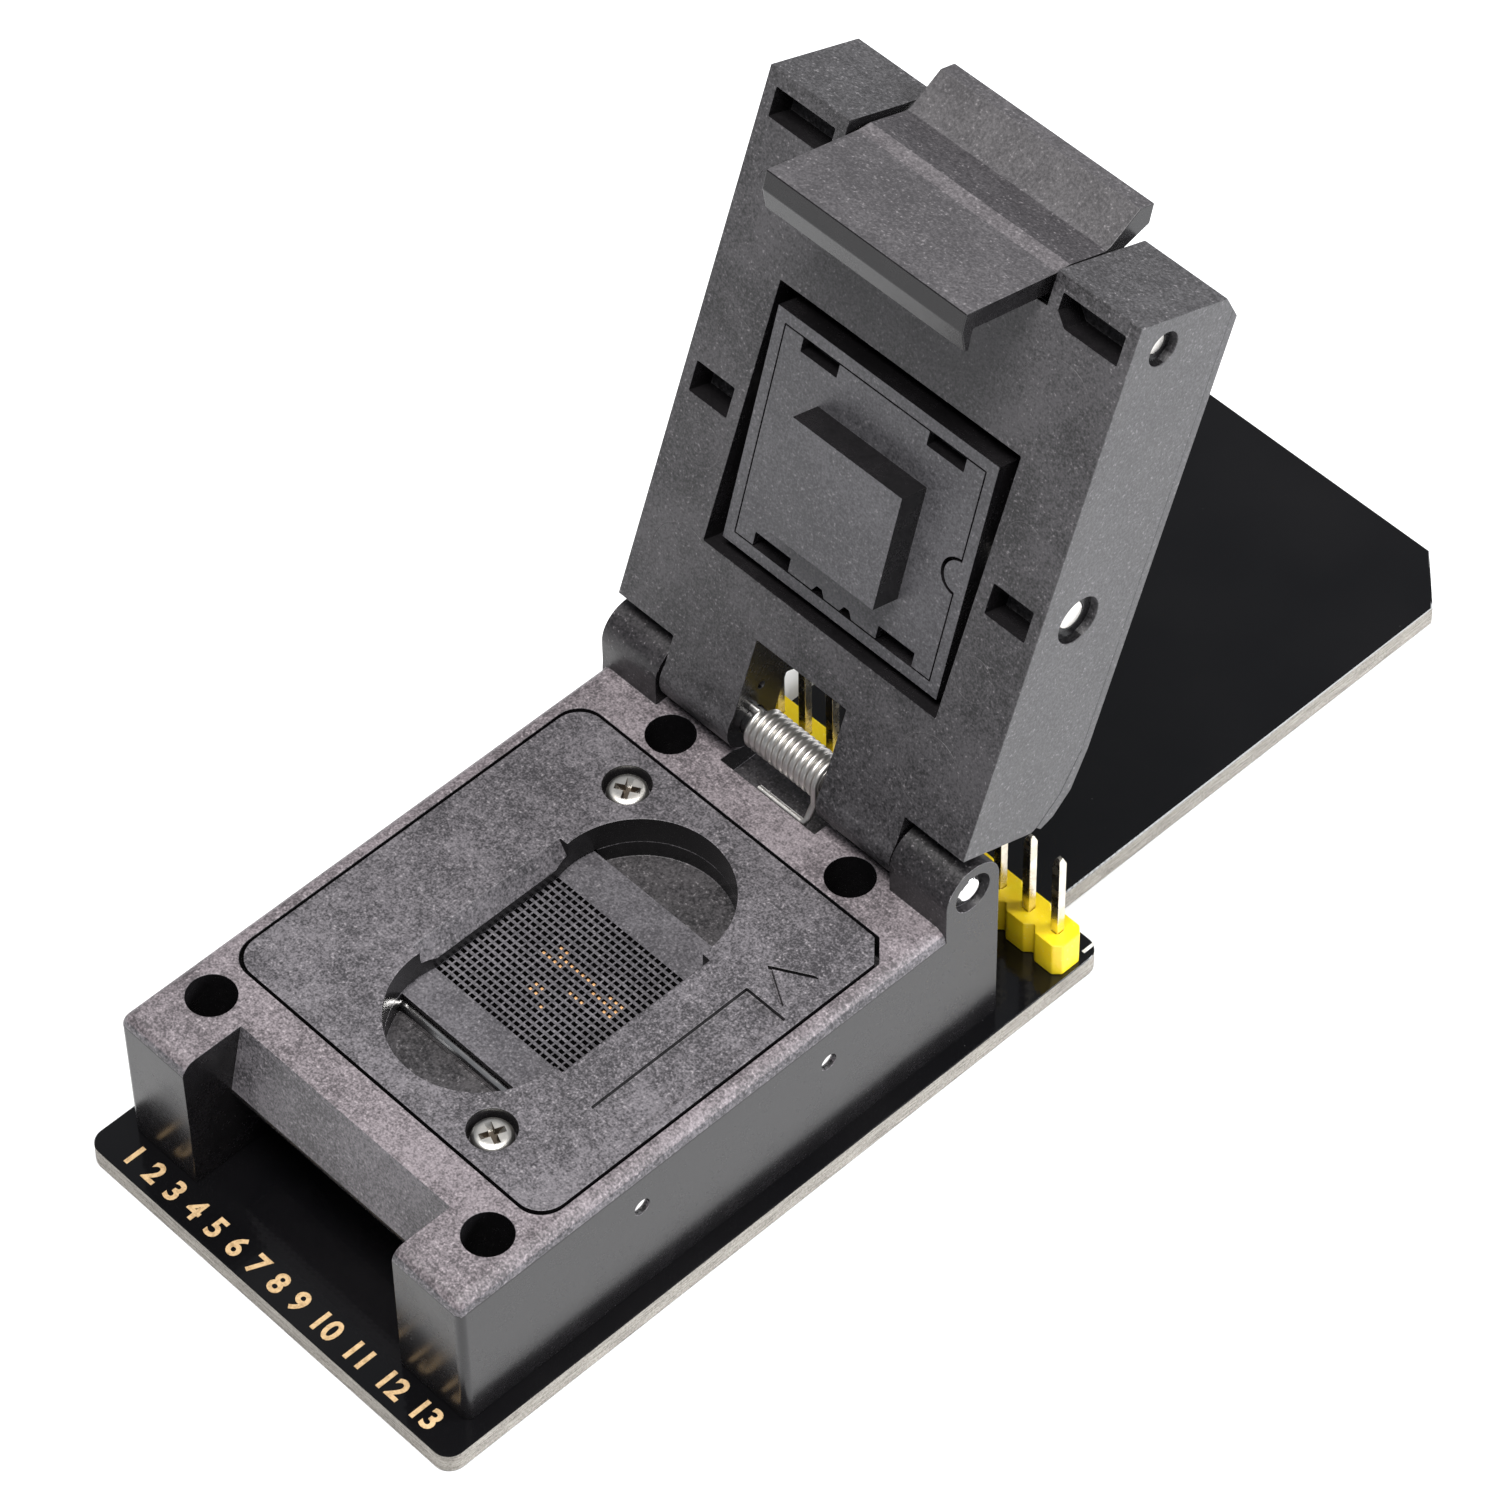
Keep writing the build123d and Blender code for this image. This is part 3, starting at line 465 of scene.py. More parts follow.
def clear() -> None:
    """Deselect everything before a new primitive."""
    if bpy.context.object and bpy.context.object.mode != "OBJECT":
        bpy.ops.object.mode_set(mode="OBJECT")
    bpy.ops.object.select_all(action="DESELECT")


def in_place(piece: bpy.types.Object) -> bpy.types.Object:
    """Apply the object's own transform to its mesh."""
    alone(piece)
    bpy.ops.object.transform_apply(location=True, rotation=True, scale=True)
    return piece


def edit(piece: bpy.types.Object, mode: str = "FACE") -> None:
    """Enter edit mode with nothing selected."""
    alone(piece)
    bpy.ops.object.mode_set(mode="EDIT")
    bpy.ops.mesh.select_mode(type=mode)
    bpy.ops.mesh.select_all(action="DESELECT")


def pick(piece: bpy.types.Object, test: Test) -> None:
    """Select the faces that pass a test and stay in edit mode.

    Args:
        piece: the mesh being edited.
        test: a question asked of each polygon.
    """
    leave()
    for part in (*piece.data.vertices, *piece.data.edges):
        part.select = False
    for face in piece.data.polygons:
        face.select = test(face)
        if face.select:
            for index in face.vertices:
                piece.data.vertices[index].select = True
    bpy.ops.object.mode_set(mode="EDIT")


def leave() -> None:
    """Back to object mode."""
    bpy.ops.object.mode_set(mode="OBJECT")


def apply_all(piece: bpy.types.Object) -> None:
    """Apply every modifier in order."""
    alone(piece)
    for modifier in list(piece.modifiers):
        bpy.ops.object.modifier_apply(modifier=modifier.name)


def cut_away(piece: bpy.types.Object, cutter: bpy.types.Object) -> None:
    """Take a cutter's space out of a piece, and the cutter out of the scene."""
    cut = piece.modifiers.new("cut", "BOOLEAN")
    cut.operation = "DIFFERENCE"
    cut.solver = "EXACT"
    cut.object = cutter
    apply_all(piece)
    bpy.data.objects.remove(cutter)


def softened(
    piece: bpy.types.Object, width: float, segments: int = 2, angle: float = 28.0
) -> None:
    """Round the sharp edges a little, as a mould leaves them.

    Args:
        piece: the mesh, in millimetres.
        width: width of the rounding in millimetres.
        segments: steps across it.
        angle: edges flatter than this stay as they are, in degrees.
    """
    bevel = piece.modifiers.new("edge", "BEVEL")
    bevel.width = width
    bevel.segments = segments
    bevel.limit_method = "ANGLE"
    bevel.angle_limit = math.radians(angle)
    bevel.use_clamp_overlap = False
    bevel.miter_outer = "MITER_ARC"
    apply_all(piece)


def from_solid(frame: dict[str, Any], node: str, name: str) -> bpy.types.Object:
    """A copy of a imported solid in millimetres, with its loose triangles merged into faces.

    Args:
        node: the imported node.
        name: the new piece's name.

    Returns:
        The new mesh object.
    """
    clear()
    source = frame["nodes"][node]
    piece = bpy.data.objects.new(name, source.data.copy())
    bpy.context.scene.collection.objects.link(piece)
    piece.data.transform(Matrix.Scale(1.0 / MM, 4))
    piece.data.materials.clear()
    alone(piece)
    bpy.ops.mesh.customdata_custom_splitnormals_clear()
    bpy.ops.object.mode_set(mode="EDIT")
    bpy.ops.mesh.select_all(action="SELECT")
    bpy.ops.mesh.remove_doubles(threshold=MERGE_MM)
    bpy.ops.mesh.dissolve_limited(angle_limit=math.radians(FLAT_DEGREES))
    leave()
    return piece


def dress(piece: bpy.types.Object, rules: Sequence[tuple[Finish, Test]]) -> None:
    """Give each face the finish of the first rule that it meets.

    Args:
        piece: the mesh to dress, in millimetres.
        rules: finishes, each with a question asked of a face; the last takes what is left.
    """
    for finish, _ in rules:
        piece.data.materials.append(dressed(finish))
    for polygon in piece.data.polygons:
        met = [i for i, (_, test) in enumerate(rules) if test(polygon)]
        polygon.material_index = met[0] if met else len(rules) - 1


def facing(direction: Vector) -> Test:
    """A rule for faces that look along a direction, either way."""
    return lambda face: abs(face.normal.dot(direction)) > 0.5


def rest(_: Any) -> bool:
    """A rule that any face meets."""
    return True


def settle(
    piece: bpy.types.Object,
    body: str,
    finish: Finish,
    stands_for: Sequence[str] = (),
    smooth: float = 32.0,
) -> None:
    """Turn a finished piece from millimetres to metres, dress it and hang it on its body.

    Args:
        piece: the finished mesh.
        body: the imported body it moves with.
        finish: its finish.
        stands_for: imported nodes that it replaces.
        smooth: edges sharper than this stay crisp, in degrees.
    """
    in_place(piece)
    piece.data.transform(Matrix.Scale(MM, 4))
    if not piece.data.materials:
        piece.data.materials.append(dressed(finish))
    alone(piece)
    bpy.ops.object.shade_smooth_by_angle(angle=math.radians(smooth))
    evened = piece.modifiers.new("evened", "WEIGHTED_NORMAL")
    evened.keep_sharp = True
    apply_all(piece)
    if stands_for:
        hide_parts(*stands_for)
    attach(piece, body)
    LOG.info("%s: %d faces on %s", piece.name, len(piece.data.polygons), body)


def joined(pieces: Sequence[bpy.types.Object], name: str) -> bpy.types.Object:
    """Join several meshes into one piece."""
    clear()
    for piece in pieces:
        piece.select_set(True)
    bpy.context.view_layer.objects.active = pieces[0]
    bpy.ops.object.join()
    return added(name)


def wire_run(name: str, points: Iterable[Vector], radius: float) -> bpy.types.Object:
    """A bent wire along points, made a mesh.

    Args:
        name: the piece's name.
        points: where the wire's middle runs, in millimetres.
        radius: half the wire's thickness.

    Returns:
        The wire as a closed mesh.
    """
    clear()
    curve = bpy.data.curves.new(name, "CURVE")
    curve.dimensions = "3D"
    spline = curve.splines.new("POLY")
    path = [tuple(p) for p in points]
    spline.points.add(len(path) - 1)
    for point, where in zip(spline.points, path):
        point.co = (*where, 1.0)
    curve.bevel_depth = radius
    curve.bevel_resolution = 4
    curve.use_fill_caps = True
    piece = bpy.data.objects.new(name, curve)
    bpy.context.scene.collection.objects.link(piece)
    alone(piece)
    bpy.ops.object.convert(target="MESH")
    return added(name)


def lettering(name: str, text: str, size: float, at: Triple) -> bpy.types.Object:
    """Plain numbers as a thin raised marking that reads from the front.

    Args:
        name: the piece's name.
        text: the numbers.
        size: height of the type in millimetres.
        at: middle of the line.

    Returns:
        The marking as a mesh.
    """
    clear()
    bpy.ops.object.text_add()
    piece = bpy.context.active_object
    piece.data.body = text
    piece.data.size = size
    piece.data.space_word = WORD_GAP
    piece.data.align_x = "CENTER"
    piece.data.align_y = "CENTER"
    piece.data.extrude = INK_MM / 2
    piece.data.offset = size * INK_SPREAD
    piece.data.resolution_u = 4
    alone(piece)
    bpy.ops.object.convert(target="MESH")
    piece = added(name)
    piece.location = (at[0], at[1], at[2] + INK_MM / 2)
    return in_place(piece)


# ---- the pieces ----


@dataclass
class LidAngle:
    """Lid coordinates: x across, s from the hinge axis along the lid, n out of its inner face."""

    hinge: Vector = field(default_factory=lambda: Vector((0.0, 20.2, 15.3)))
    open_angle: float = math.radians(110.8)

    @property
    def along(self) -> Vector:
        """Direction from the hinge to the latch end."""
        return Vector((0.0, -math.cos(self.open_angle), math.sin(self.open_angle)))

    @property
    def out(self) -> Vector:
        """Direction out of the inner face."""
        return Vector((0.0, -math.sin(self.open_angle), -math.cos(self.open_angle)))

    def point(self, x: float, s: float, n: float) -> Vector:
        """A place in the part's frame from lid coordinates."""
        return self.hinge + ACROSS * x + self.along * s + self.out * n

    def matrix(self) -> Matrix:
        """What turns (x, s, n) into the part's frame."""
        turn = Matrix((ACROSS, self.along, self.out)).transposed()
        return Matrix.Translation(self.hinge) @ turn.to_4x4()


@dataclass
class AdapterBoard:
    """Black board with pale cut edges, gold numbers along the front and the header behind."""

    frame: dict[str, Any]
    top: float = 1.6
    marking: str = " ".join(str(number) for number in range(1, 14))
    marking_size: float = 2.15
    marking_y: float = -23.95
    first_pin_size: float = 1.5
    first_pin: tuple[float, float] = (16.15, 30.2)

    def build(self) -> None:
        """Build the board, its marking, the card pads and the header."""
        board = from_solid(self.frame, "adapter_board", "board")
        softened(board, 0.06, 1, 60.0)
        dress(board, [(Finish.MASK, facing(UP)), (Finish.LAMINATE, rest)])
        settle(board, "base", Finish.MASK, ["adapter_board"])
        middle = (0.0, self.marking_y, self.top)
        numbers = lettering("front_numbers", self.marking, self.marking_size, middle)
        settle(numbers, "base", Finish.PRINT)
        beside = (*self.first_pin, self.top)
        first = lettering("header_number", "1", self.first_pin_size, beside)
        settle(first, "base", Finish.WHITE)
        pads = from_solid(self.frame, "edge_contacts", "card_pads")
        settle(pads, "base", Finish.GOLD, ["edge_contacts"])
        strip = from_solid(self.frame, "header_strip", "header_body")
        softened(strip, 0.12, 2)
        settle(strip, "base", Finish.YELLOW, ["header_strip"])
        pins = from_solid(self.frame, "header_pins", "header_wires")
        softened(pins, 0.05, 2, 40.0)
        settle(pins, "base", Finish.PIN, ["header_pins"])


@dataclass
class Nest:
    """Insert, its screws, the floating guide with its grid of holes, and the contacts.

    A screw's place is x, y and its turn; a cross is the length, width and depth of its arms.
    """

    frame: dict[str, Any]
    pitch: float = 0.5
    columns: int = 24
    rows: int = 21
    stretch: float = 1.9
    web: float = 0.11
    hole_depth: float = 0.9
    top: float = 10.9
    plate_width: float = 14.4
    plate_front: float = -7.05
    plate_rear: float = 8.2
    plate_t: float = 0.9
    tongue_t: float = 0.4
    tongue_reach: float = 0.9
    tongue_narrowing: float = 0.9
    screws_at: tuple[Triple, ...] = ((-7.0, 12.1, 0.55), (7.0, -12.1, 1.2))
    screw_top: float = 12.88
    head_radius: float = 1.37
    head_height: float = 1.3
    head_crown: float = 0.62
    cross: Triple = (2.2, 0.5, 0.8)

    def build(self) -> None:
        """Build everything in the nest."""
        insert = from_solid(self.frame, "locator_insert", "chip_insert")
        softened(insert, 0.07, 2)
        # Insert faces that do not look up take the wall finish: painted shade.
        dress(insert, [(Finish.INSERT, facing(UP)), (Finish.WALL, rest)])
        settle(insert, "base", Finish.INSERT, ["locator_insert"])
        self.guide()
        self.screws()
        tips = from_solid(self.frame, "contact_pins", "contact_tips")
        softened(tips, 0.05, 3, 30.0)
        settle(tips, "base", Finish.CONTACT, ["contact_pins"])

    def guide(self) -> None:
        """The sprung plate: a grid whose cells are inset and pushed down, with a plain rim.

        It is stretched across while the cells are inset, which leaves their side webs thinner.
        """
        clear()
        bpy.ops.mesh.primitive_grid_add(
            x_subdivisions=self.columns, y_subdivisions=self.rows, size=1.0
        )
        plate = added("contact_guide")
        width = self.columns * self.pitch
        length = self.rows * self.pitch
        plate.scale = (width, length, 1.0)
        in_place(plate)
        edit(plate, "EDGE")
        bpy.ops.mesh.select_all(action="SELECT")
        bpy.ops.mesh.region_to_loop()
        bpy.ops.mesh.extrude_edges_move()
        leave()
        half = Vector((width / 2, length / 2))
        near = 1e-4
        for corner in (v for v in plate.data.vertices if v.select):
            if abs(abs(corner.co.x) - half.x) < near:
                corner.co.x = math.copysign(self.plate_width / 2, corner.co.x)
            if corner.co.y > half.y - near:
                corner.co.y = self.plate_rear
            elif corner.co.y < -half.y + near:
                corner.co.y = self.plate_front
        plate.scale = (self.stretch, 1.0, 1.0)
        in_place(plate)
        half.x *= self.stretch
        cell = self.pitch * self.pitch * self.stretch

        def in_grid(face: Any) -> bool:
            """Whether a face is one cell of the grid, and not of the rim."""
            inside = abs(face.center.x) < half.x and abs(face.center.y) < half.y
            return inside and abs(face.area - cell) < cell * 0.05

        edit(plate)
        pick(plate, in_grid)
        bpy.ops.mesh.inset(thickness=self.web, use_individual=True)
        down = {"value": (0.0, 0.0, -self.hole_depth)}
        bpy.ops.mesh.extrude_region_move(TRANSFORM_OT_translate=down)
        bpy.ops.mesh.select_all(action="DESELECT")
        bpy.ops.mesh.select_mode(type="EDGE")
        bpy.ops.mesh.select_non_manifold()
        down = {"value": (0.0, 0.0, -self.plate_t)}
        bpy.ops.mesh.extrude_edges_move(TRANSFORM_OT_translate=down)
        bpy.ops.mesh.edge_face_add()
        bpy.ops.mesh.select_all(action="SELECT")
        bpy.ops.mesh.normals_make_consistent(inside=False)
        leave()
        plate.scale = (1.0 / self.stretch, 1.0, 1.0)
        in_place(plate)
        self.front_tongue(plate)
        plate.location = (0.0, 0.0, self.top)
        # Hole and side walls of the guide take the wall finish: painted shade.
        dress(plate, [(Finish.GUIDE, facing(UP)), (Finish.WALL, rest)])
        settle(plate, "floating_plate", Finish.GUIDE, ["contact_plate"], 20.0)

    def front_tongue(self, plate: bpy.types.Object) -> None:
        """Draw the upper half of the plate's front face forward over the rod as a thin tongue."""
        edit(plate)
        bpy.ops.mesh.select_all(action="SELECT")
        bpy.ops.mesh.bisect(plane_co=(0.0, 0.0, -self.tongue_t), plane_no=UP)
        bpy.ops.mesh.select_all(action="DESELECT")

        def upper_front(face: Any) -> bool:
            """Whether a face is the upper half of the plate's front."""
            ahead = face.normal.y < -0.9 and face.center.y < self.plate_front + 0.05
            return ahead and face.center.z > -self.tongue_t

        pick(plate, upper_front)
        forward = {"value": (0.0, -self.tongue_reach, 0.0)}
        bpy.ops.mesh.extrude_region_move(TRANSFORM_OT_translate=forward)
        bpy.ops.transform.resize(value=(self.tongue_narrowing, 1.0, 1.0))
        leave()

    def screws(self) -> None:
        """Two pan-headed screws with a cross recess."""
        made = []
        for index, (x, y, turn) in enumerate(self.screws_at):
            clear()
            bpy.ops.mesh.primitive_cylinder_add(
                vertices=48, radius=self.head_radius, depth=self.head_height
            )
            head = added(f"screw_head_{index}")
            edit(head)
            pick(head, lambda face: face.normal.z > 0.9)
            crown = self.head_crown
            bpy.ops.mesh.bevel(offset=crown, segments=6, profile=crown, affect="EDGES")
            leave()
            for wide in (False, True):
                cut_away(head, self.recess_bar(wide))
            # The cross recess takes the dark metal: painted shade.
            dress(head, [(Finish.RECESS, self.recessed), (Finish.SCREW, rest)])
            head.location = (x, y, self.screw_top - self.head_height / 2)
            head.rotation_euler = (0.03, 0.02, turn)
            made.append(in_place(head))
        heads = joined(made, "insert_screw_heads")
        settle(heads, "base", Finish.SCREW, ["insert_screws"], 40.0)

    def recess_bar(self, wide: bool) -> bpy.types.Object:
        """One tapered arm of the driver's cross, as a cutter."""
        clear()
        bpy.ops.mesh.primitive_cube_add(size=1.0, location=(0.0, 0.0, 0.55))
        bar = added("recess_bar")
        length, width, depth = self.cross
        bar.scale = (length, width, depth) if wide else (width, length, depth)
        in_place(bar)
        edit(bar)
        pick(bar, lambda face: face.normal.z < -0.9)
        bpy.ops.transform.resize(value=(0.4, 0.7, 1.0) if wide else (0.7, 0.4, 1.0))
        leave()
        return bar

    @staticmethod
    def recessed(face: Any) -> bool:
        """Whether a face of a screw head lies in its cross."""
        deep = face.center.z < 0.45 or face.normal.z < 0.6
        return deep and face.center.xy.length < 1.0


@dataclass
class SocketBase:
    """Moulded base with its rods and the hinge pin."""

    frame: dict[str, Any]
    ear_foot: float = 13.3
    pit_top: float = 12.5

    def build(self) -> None:
        """Build the base housing and the steel in it."""
        housing = from_solid(self.frame, "base_housing", "housing")
        softened(housing, 0.06, 2)
        # Dressed by face: ear barrels, pit floors and sloped faces get darker plastic as painted
        # shade, and side walls the wall finish's painted shade.
        dress(
            housing,
            [
                (Finish.KNUCKLE, lambda f: f.center.z > self.ear_foot and abs(f.normal.x) < 0.5),
                (Finish.PIT, lambda f: f.center.z < self.pit_top and f.normal.z > 0.7),
                (Finish.INSERT, lambda f: 0.15 < f.normal.z < 0.6),
                (Finish.HOUSING, facing(UP)),
                (Finish.WALL, rest),
            ],
        )
        settle(housing, "base", Finish.HOUSING, ["base_housing"])
        carrier = from_solid(self.frame, "contact_carrier", "carrier")
        softened(carrier, 0.08, 1)
        settle(carrier, "base", Finish.GUIDE, ["contact_carrier"])
        coils = from_solid(self.frame, "float_springs", "float_coils")
        settle(coils, "base", Finish.WIRE, ["float_springs"], 50.0)
        for node, name in (("cross_pins", "rods"), ("hinge_pin", "hinge_rod")):
            rod = from_solid(self.frame, node, name)
            softened(rod, 0.08, 2, 50.0)
            settle(rod, "base", Finish.STEEL, [node])


@dataclass
class Lid:
    """Lid frame, cover, latch, pressure plate and the hinge spring.

    Marks are x, s and radius. The spring runs along x from coil_start, and lower_leg is measured
    from the pin's axis below its last turn. Ridge, dip and nose are distances ahead of the pivot.
    """

    frame: dict[str, Any]
    angle: LidAngle = field(default_factory=LidAngle)
    marks: tuple[Triple, ...] = (
        (-11.2, 34.3, 2.9),
        (-12.2, 24.3, 1.5),
        (-12.4, 16.3, 1.5),
        (-11.5, 8.1, 2.5),
        (12.3, 24.8, 1.5),
        (10.9, 6.9, 2.5),
        (11.2, 34.3, 2.9),
        (11.9, 14.6, 1.5),
    )
    mark_n: float = 1.985
    mark_wire: float = 0.03
    mark_tilt: Triple = (0.004, 0.003, 0.0)
    outer_side: float = 15.25
    latch_end: float = 42.0
    coil_radius: float = 1.28
    wire: float = 0.245
    coil_start: float = -3.3
    coil_pitch: float = 0.5
    coil_steps: int = 40
    upper_leg: Triple = (-4.9, -3.9, -3.5)
    lid_turns: tuple[float, float] = (0.0, 10.5)
    base_turns: tuple[float, float] = (10.85, 12.25)
    base_slip: float = 0.02
    lower_leg: tuple[Triple, ...] = (
        (0.03, -1.33, -1.2),
        (0.08, -1.9, -2.0),
        (0.05, -2.2, -2.28),
        (-0.2, -2.25, -2.33),
        (-3.995, -2.25, -2.33),
    )
    window: tuple[float, float] = (-4.1, 3.8)
    window_foot: Triple = (6.0, 0.8, 2.3)
    latch_pivot: tuple[float, float] = (40.0, -0.9)
    latch_lean: float = 6.5
    ridge: tuple[float, float] = (1.05, 2.25)
    dip: tuple[float, float] = (-2.3, 1.05)
    nose: float = 9.0

    def build(self) -> None:
        """Build the lid's pieces."""
        body = from_solid(self.frame, "lid_frame", "lid_body")
        self.open_foot(body)
        softened(body, 0.07, 2)
        self.dress_lid(body)
        settle(body, "lid", Finish.LID, ["lid_frame"])
        shell = from_solid(self.frame, "lid_cover", "lid_shell")
        softened(shell, 0.07, 2)
        self.dress_lid(shell)
        settle(shell, "lid", Finish.LID, ["lid_cover"])
        latch = from_solid(self.frame, "latch", "latch_lever")
        softened(latch, 0.06, 2, 20.0)
        self.dress_latch(latch)
        settle(latch, "latch", Finish.LATCH, ["latch"], 3.0)
        self.press()
        self.mould_marks()
        self.spring()
        for node, name in (("latch_pin", "latch_rod"), ("pressure_pin", "press_rod")):
            rod = from_solid(self.frame, node, name)
            softened(rod, 0.12, 2, 50.0)
            settle(rod, "lid", Finish.SCREW, [node])
        for node, name in (("latch_spring", "latch_coil"), ("pressure_springs", "press_coils")):
            coil = from_solid(self.frame, node, name)
            settle(coil, "lid", Finish.WIRE, [node], 50.0)

    def open_foot(self, body: bpy.types.Object) -> None:
        """Take the thin skin of the barrel off the foot of the spring window."""
        left, right = self.window
        length, depth, middle = self.window_foot
        clear()
        bpy.ops.mesh.primitive_cube_add(size=1.0, location=((left + right) / 2, 0.0, middle))
        block = added("foot_block")
        block.scale = (right - left, length, depth)
        in_place(block)
        block.data.transform(self.angle.matrix())
        cut_away(body, block)

    def dress_lid(self, piece: bpy.types.Object) -> None:
        """Grained faces, outer sides lighter as painted light, and walls in the windows and slots
        darker as painted shade.
        """
        angle = self.angle

        def outside(face: Any) -> bool:
            """Whether a face is on the lid's outer sides or its end."""
            along = (Vector(face.center) - angle.hinge).dot(angle.along)
            return abs(face.center.x) > self.outer_side or along > self.latch_end

        grained = (Finish.LID, facing(angle.out))
        # The outer sides take the lighter copy as painted light; faces not looking out take the
        # wall finish's painted shade.
        dress(piece, [(Finish.LID_SIDE, outside), grained, (Finish.WALL, rest)])

    def dress_latch(self, latch: bpy.types.Object) -> None:
        """Bands across the thumb plate: the grained slab and lip, a ridge lightened as painted
        highlight and a dip darkened as painted shade.
        """
        lean = LidAngle(open_angle=self.angle.open_angle - math.radians(self.latch_lean))
        pivot = self.angle.point(0.0, *self.latch_pivot)

        def reach(face: Any) -> float:
            """How far a face lies ahead of the pivot."""
            return (Vector(face.center) - pivot).dot(lean.out)

        def band(low: float, high: float) -> Test:
            """A rule for upper faces within a stretch ahead of the pivot."""
            return lambda face: face.normal.dot(lean.along) > 0.9 and low < reach(face) < high

        def hook_front(face: Any) -> bool:
            """Whether a face looks forward on the hook."""
            return face.normal.dot(lean.out) > 0.3 and reach(face) > self.nose

        # Sides, back and hook front take the wall finish's painted shade; the ridge and dip take
        # painted highlight and painted shade.
        dress(
            latch,
            [
                (Finish.WALL, facing(ACROSS)),
                (Finish.WALL, lambda face: face.normal.dot(lean.along) < -0.5),
                (Finish.WALL, hook_front),
                (Finish.LATCH_RIDGE, band(*self.ridge)),
                (Finish.LATCH_DIP, band(*self.dip)),
                (Finish.LATCH, rest),
            ],
        )

    def press(self) -> None:
        """The rocking frame and the plate with its raised pad."""
        for node, name in (("pressure_frame", "press_rocker"), ("pressure_plate", "press_plate")):
            piece = from_solid(self.frame, node, name)
            softened(piece, 0.05, 2)
            # Faces that do not look out of the lid take the wall finish: painted shade.
            dress(piece, [(Finish.PRESS, facing(self.angle.out)), (Finish.WALL, rest)])
            settle(piece, "press", Finish.PRESS, [node])

    def mould_marks(self) -> None:
        """Faint round witness lines of the mould's ejector pins in the inner face."""
        rings = []
        for x, s, radius in self.marks:
            clear()
            bpy.ops.mesh.primitive_torus_add(
                major_segments=72,
                minor_segments=6,
                major_radius=radius,
                minor_radius=self.mark_wire,
                location=(x, s, self.mark_n),
            )
            ring = added("mark")
            ring.rotation_euler = self.mark_tilt
            rings.append(in_place(ring))
        marks = joined(rings, "ejector_marks")
        marks.data.transform(self.angle.matrix())
        settle(marks, "lid", Finish.LATCH)

    def helix(self, first: float, last: float, slip: float = 0.0) -> list[Vector]:
        """Points of the hinge spring's close turns.

        Args:
            first: turns from the coil's start to the first point.
            last: turns from the coil's start to the last point.
            slip: how far these turns stand off along the pin, in millimetres.

        Returns:
            The points, evenly round the turns.
        """
        points = []
        for i in range(round(first * self.coil_steps), round(last * self.coil_steps) + 1):
            turn = 2 * math.pi * i / self.coil_steps
            around = Vector((0.0, -math.sin(turn), math.cos(turn))) * self.coil_radius
            along = self.coil_start + self.coil_pitch * i / self.coil_steps + slip
            points.append(self.angle.hinge + around + ACROSS * along)
        return points

    def spring(self) -> None:
        """Hinge spring: a leg in the lid with its turns; the last turn and leg stay on the base."""
        axis = self.angle.hinge
        upper = [axis + Vector((x, 0.0, self.coil_radius)) for x in self.upper_leg]
        coil = wire_run("hinge_coil", upper + self.helix(*self.lid_turns), self.wire)
        settle(coil, "lid", Finish.WIRE, ["hinge_spring"], 60.0)
        lower = self.helix(*self.base_turns, self.base_slip)
        corner = Vector((lower[-1].x, axis.y, axis.z))
        lower += [corner + Vector(bend) for bend in self.lower_leg]
        leg = wire_run("hinge_leg", lower, self.wire)
        settle(leg, "base", Finish.WIRE, (), 60.0)


# ---- the studio ----


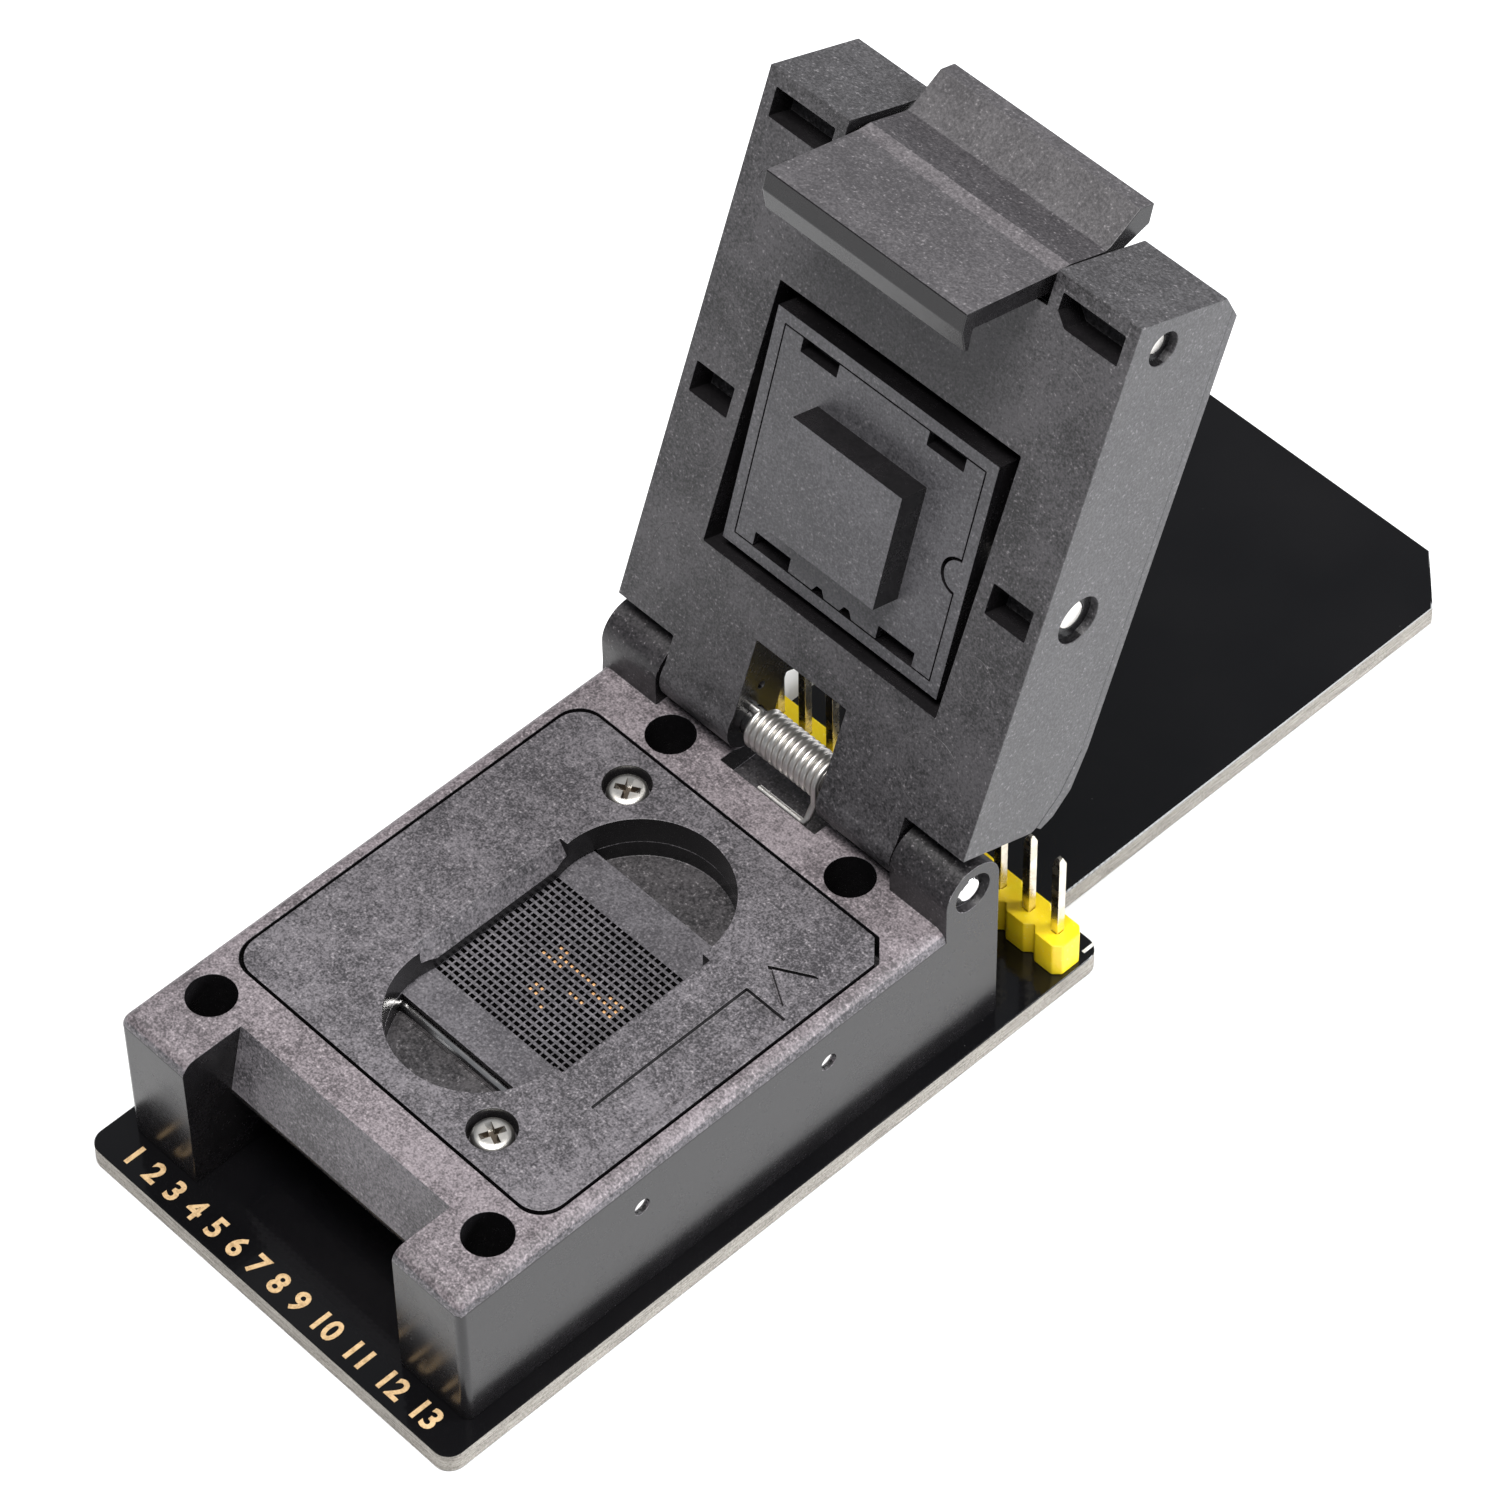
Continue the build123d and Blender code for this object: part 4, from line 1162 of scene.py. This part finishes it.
@dataclass
class Studio:
    """Pale floor, soft lights and the camera at the photograph's angle.

    Places are in metres here, and tilt is in degrees.
    """

    lens: float = 154.632
    eye: Triple = (0.187876, -0.158478, 0.323361)
    tilt: Triple = (40.1294, 0.7473, 46.2030)
    aim: Triple = (0.0, 0.01, 0.015)
    floor_drop: float = 0.00002
    surround: float = 0.2

    def build(self) -> None:
        """Set up the floor, the lights, the world and the camera."""
        self.floor()
        self.light("key", (0.05, -0.08, 0.62), size=0.3, power=5.7, colour=(1.0, 0.985, 0.97))
        self.light("fill", (0.40, 0.40, 0.27), size=0.25, power=3.7, colour=(0.96, 0.98, 1.0))
        self.world()
        self.camera()

    def floor(self) -> None:
        """A plain white floor just under the board."""
        clear()
        bpy.ops.mesh.primitive_plane_add(size=6.0, location=(0.0, 0.0, -self.floor_drop))
        floor = added("floor")
        s = Shader("floor_white")
        grain = s.noise(s.place(), 0.02, 2.0)
        tone = s.blend(grain, (0.93, 0.935, 0.95), (0.95, 0.955, 0.965))
        white = s.finish(Base_Color=tone, Roughness=0.9, Specular_IOR_Level=0.1)
        floor.data.materials.append(white)

    def light(self, name: str, at: Triple, size: float, power: float, colour: Triple) -> None:
        """A square soft light that looks at the socket."""
        data = bpy.data.lights.new(name, "AREA")
        data.shape = "SQUARE"
        data.size = size
        data.energy = power
        data.color = colour
        lamp = bpy.data.objects.new(name, data)
        lamp.location = at
        way = Vector(self.aim) - Vector(at)
        lamp.rotation_euler = way.to_track_quat("-Z", "Y").to_euler()
        bpy.context.scene.collection.objects.link(lamp)

    def world(self) -> None:
        """A dim even surround."""
        world = bpy.data.worlds.new("surround")
        world.use_nodes = True
        back = world.node_tree.nodes["Background"]
        back.inputs["Color"].default_value = (0.9, 0.94, 1.0, 1.0)
        back.inputs["Strength"].default_value = self.surround
        bpy.context.scene.world = world

    def camera(self) -> None:
        """A long lens at the photograph's place."""
        data = bpy.data.cameras.new("camera")
        data.lens = self.lens
        data.sensor_width = 36.0
        data.sensor_height = 36.0
        data.clip_start = 0.02
        data.clip_end = 20.0
        camera = bpy.data.objects.new("camera", data)
        camera.location = self.eye
        camera.rotation_euler = Euler([math.radians(a) for a in self.tilt])
        bpy.context.scene.collection.objects.link(camera)
        bpy.context.scene.camera = camera
        bpy.context.scene.view_settings.view_transform = "Standard"


def main() -> None:
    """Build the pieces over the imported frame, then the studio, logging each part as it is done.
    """
    logging.basicConfig(level=logging.INFO, format="%(name)s: %(message)s")
    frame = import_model()
    for part in (SocketBase(frame), AdapterBoard(frame), Nest(frame), Lid(frame)):
        part.build()
        LOG.info("%s done", type(part).__name__)
    Studio().build()


if __name__ == "__main__":
    main()
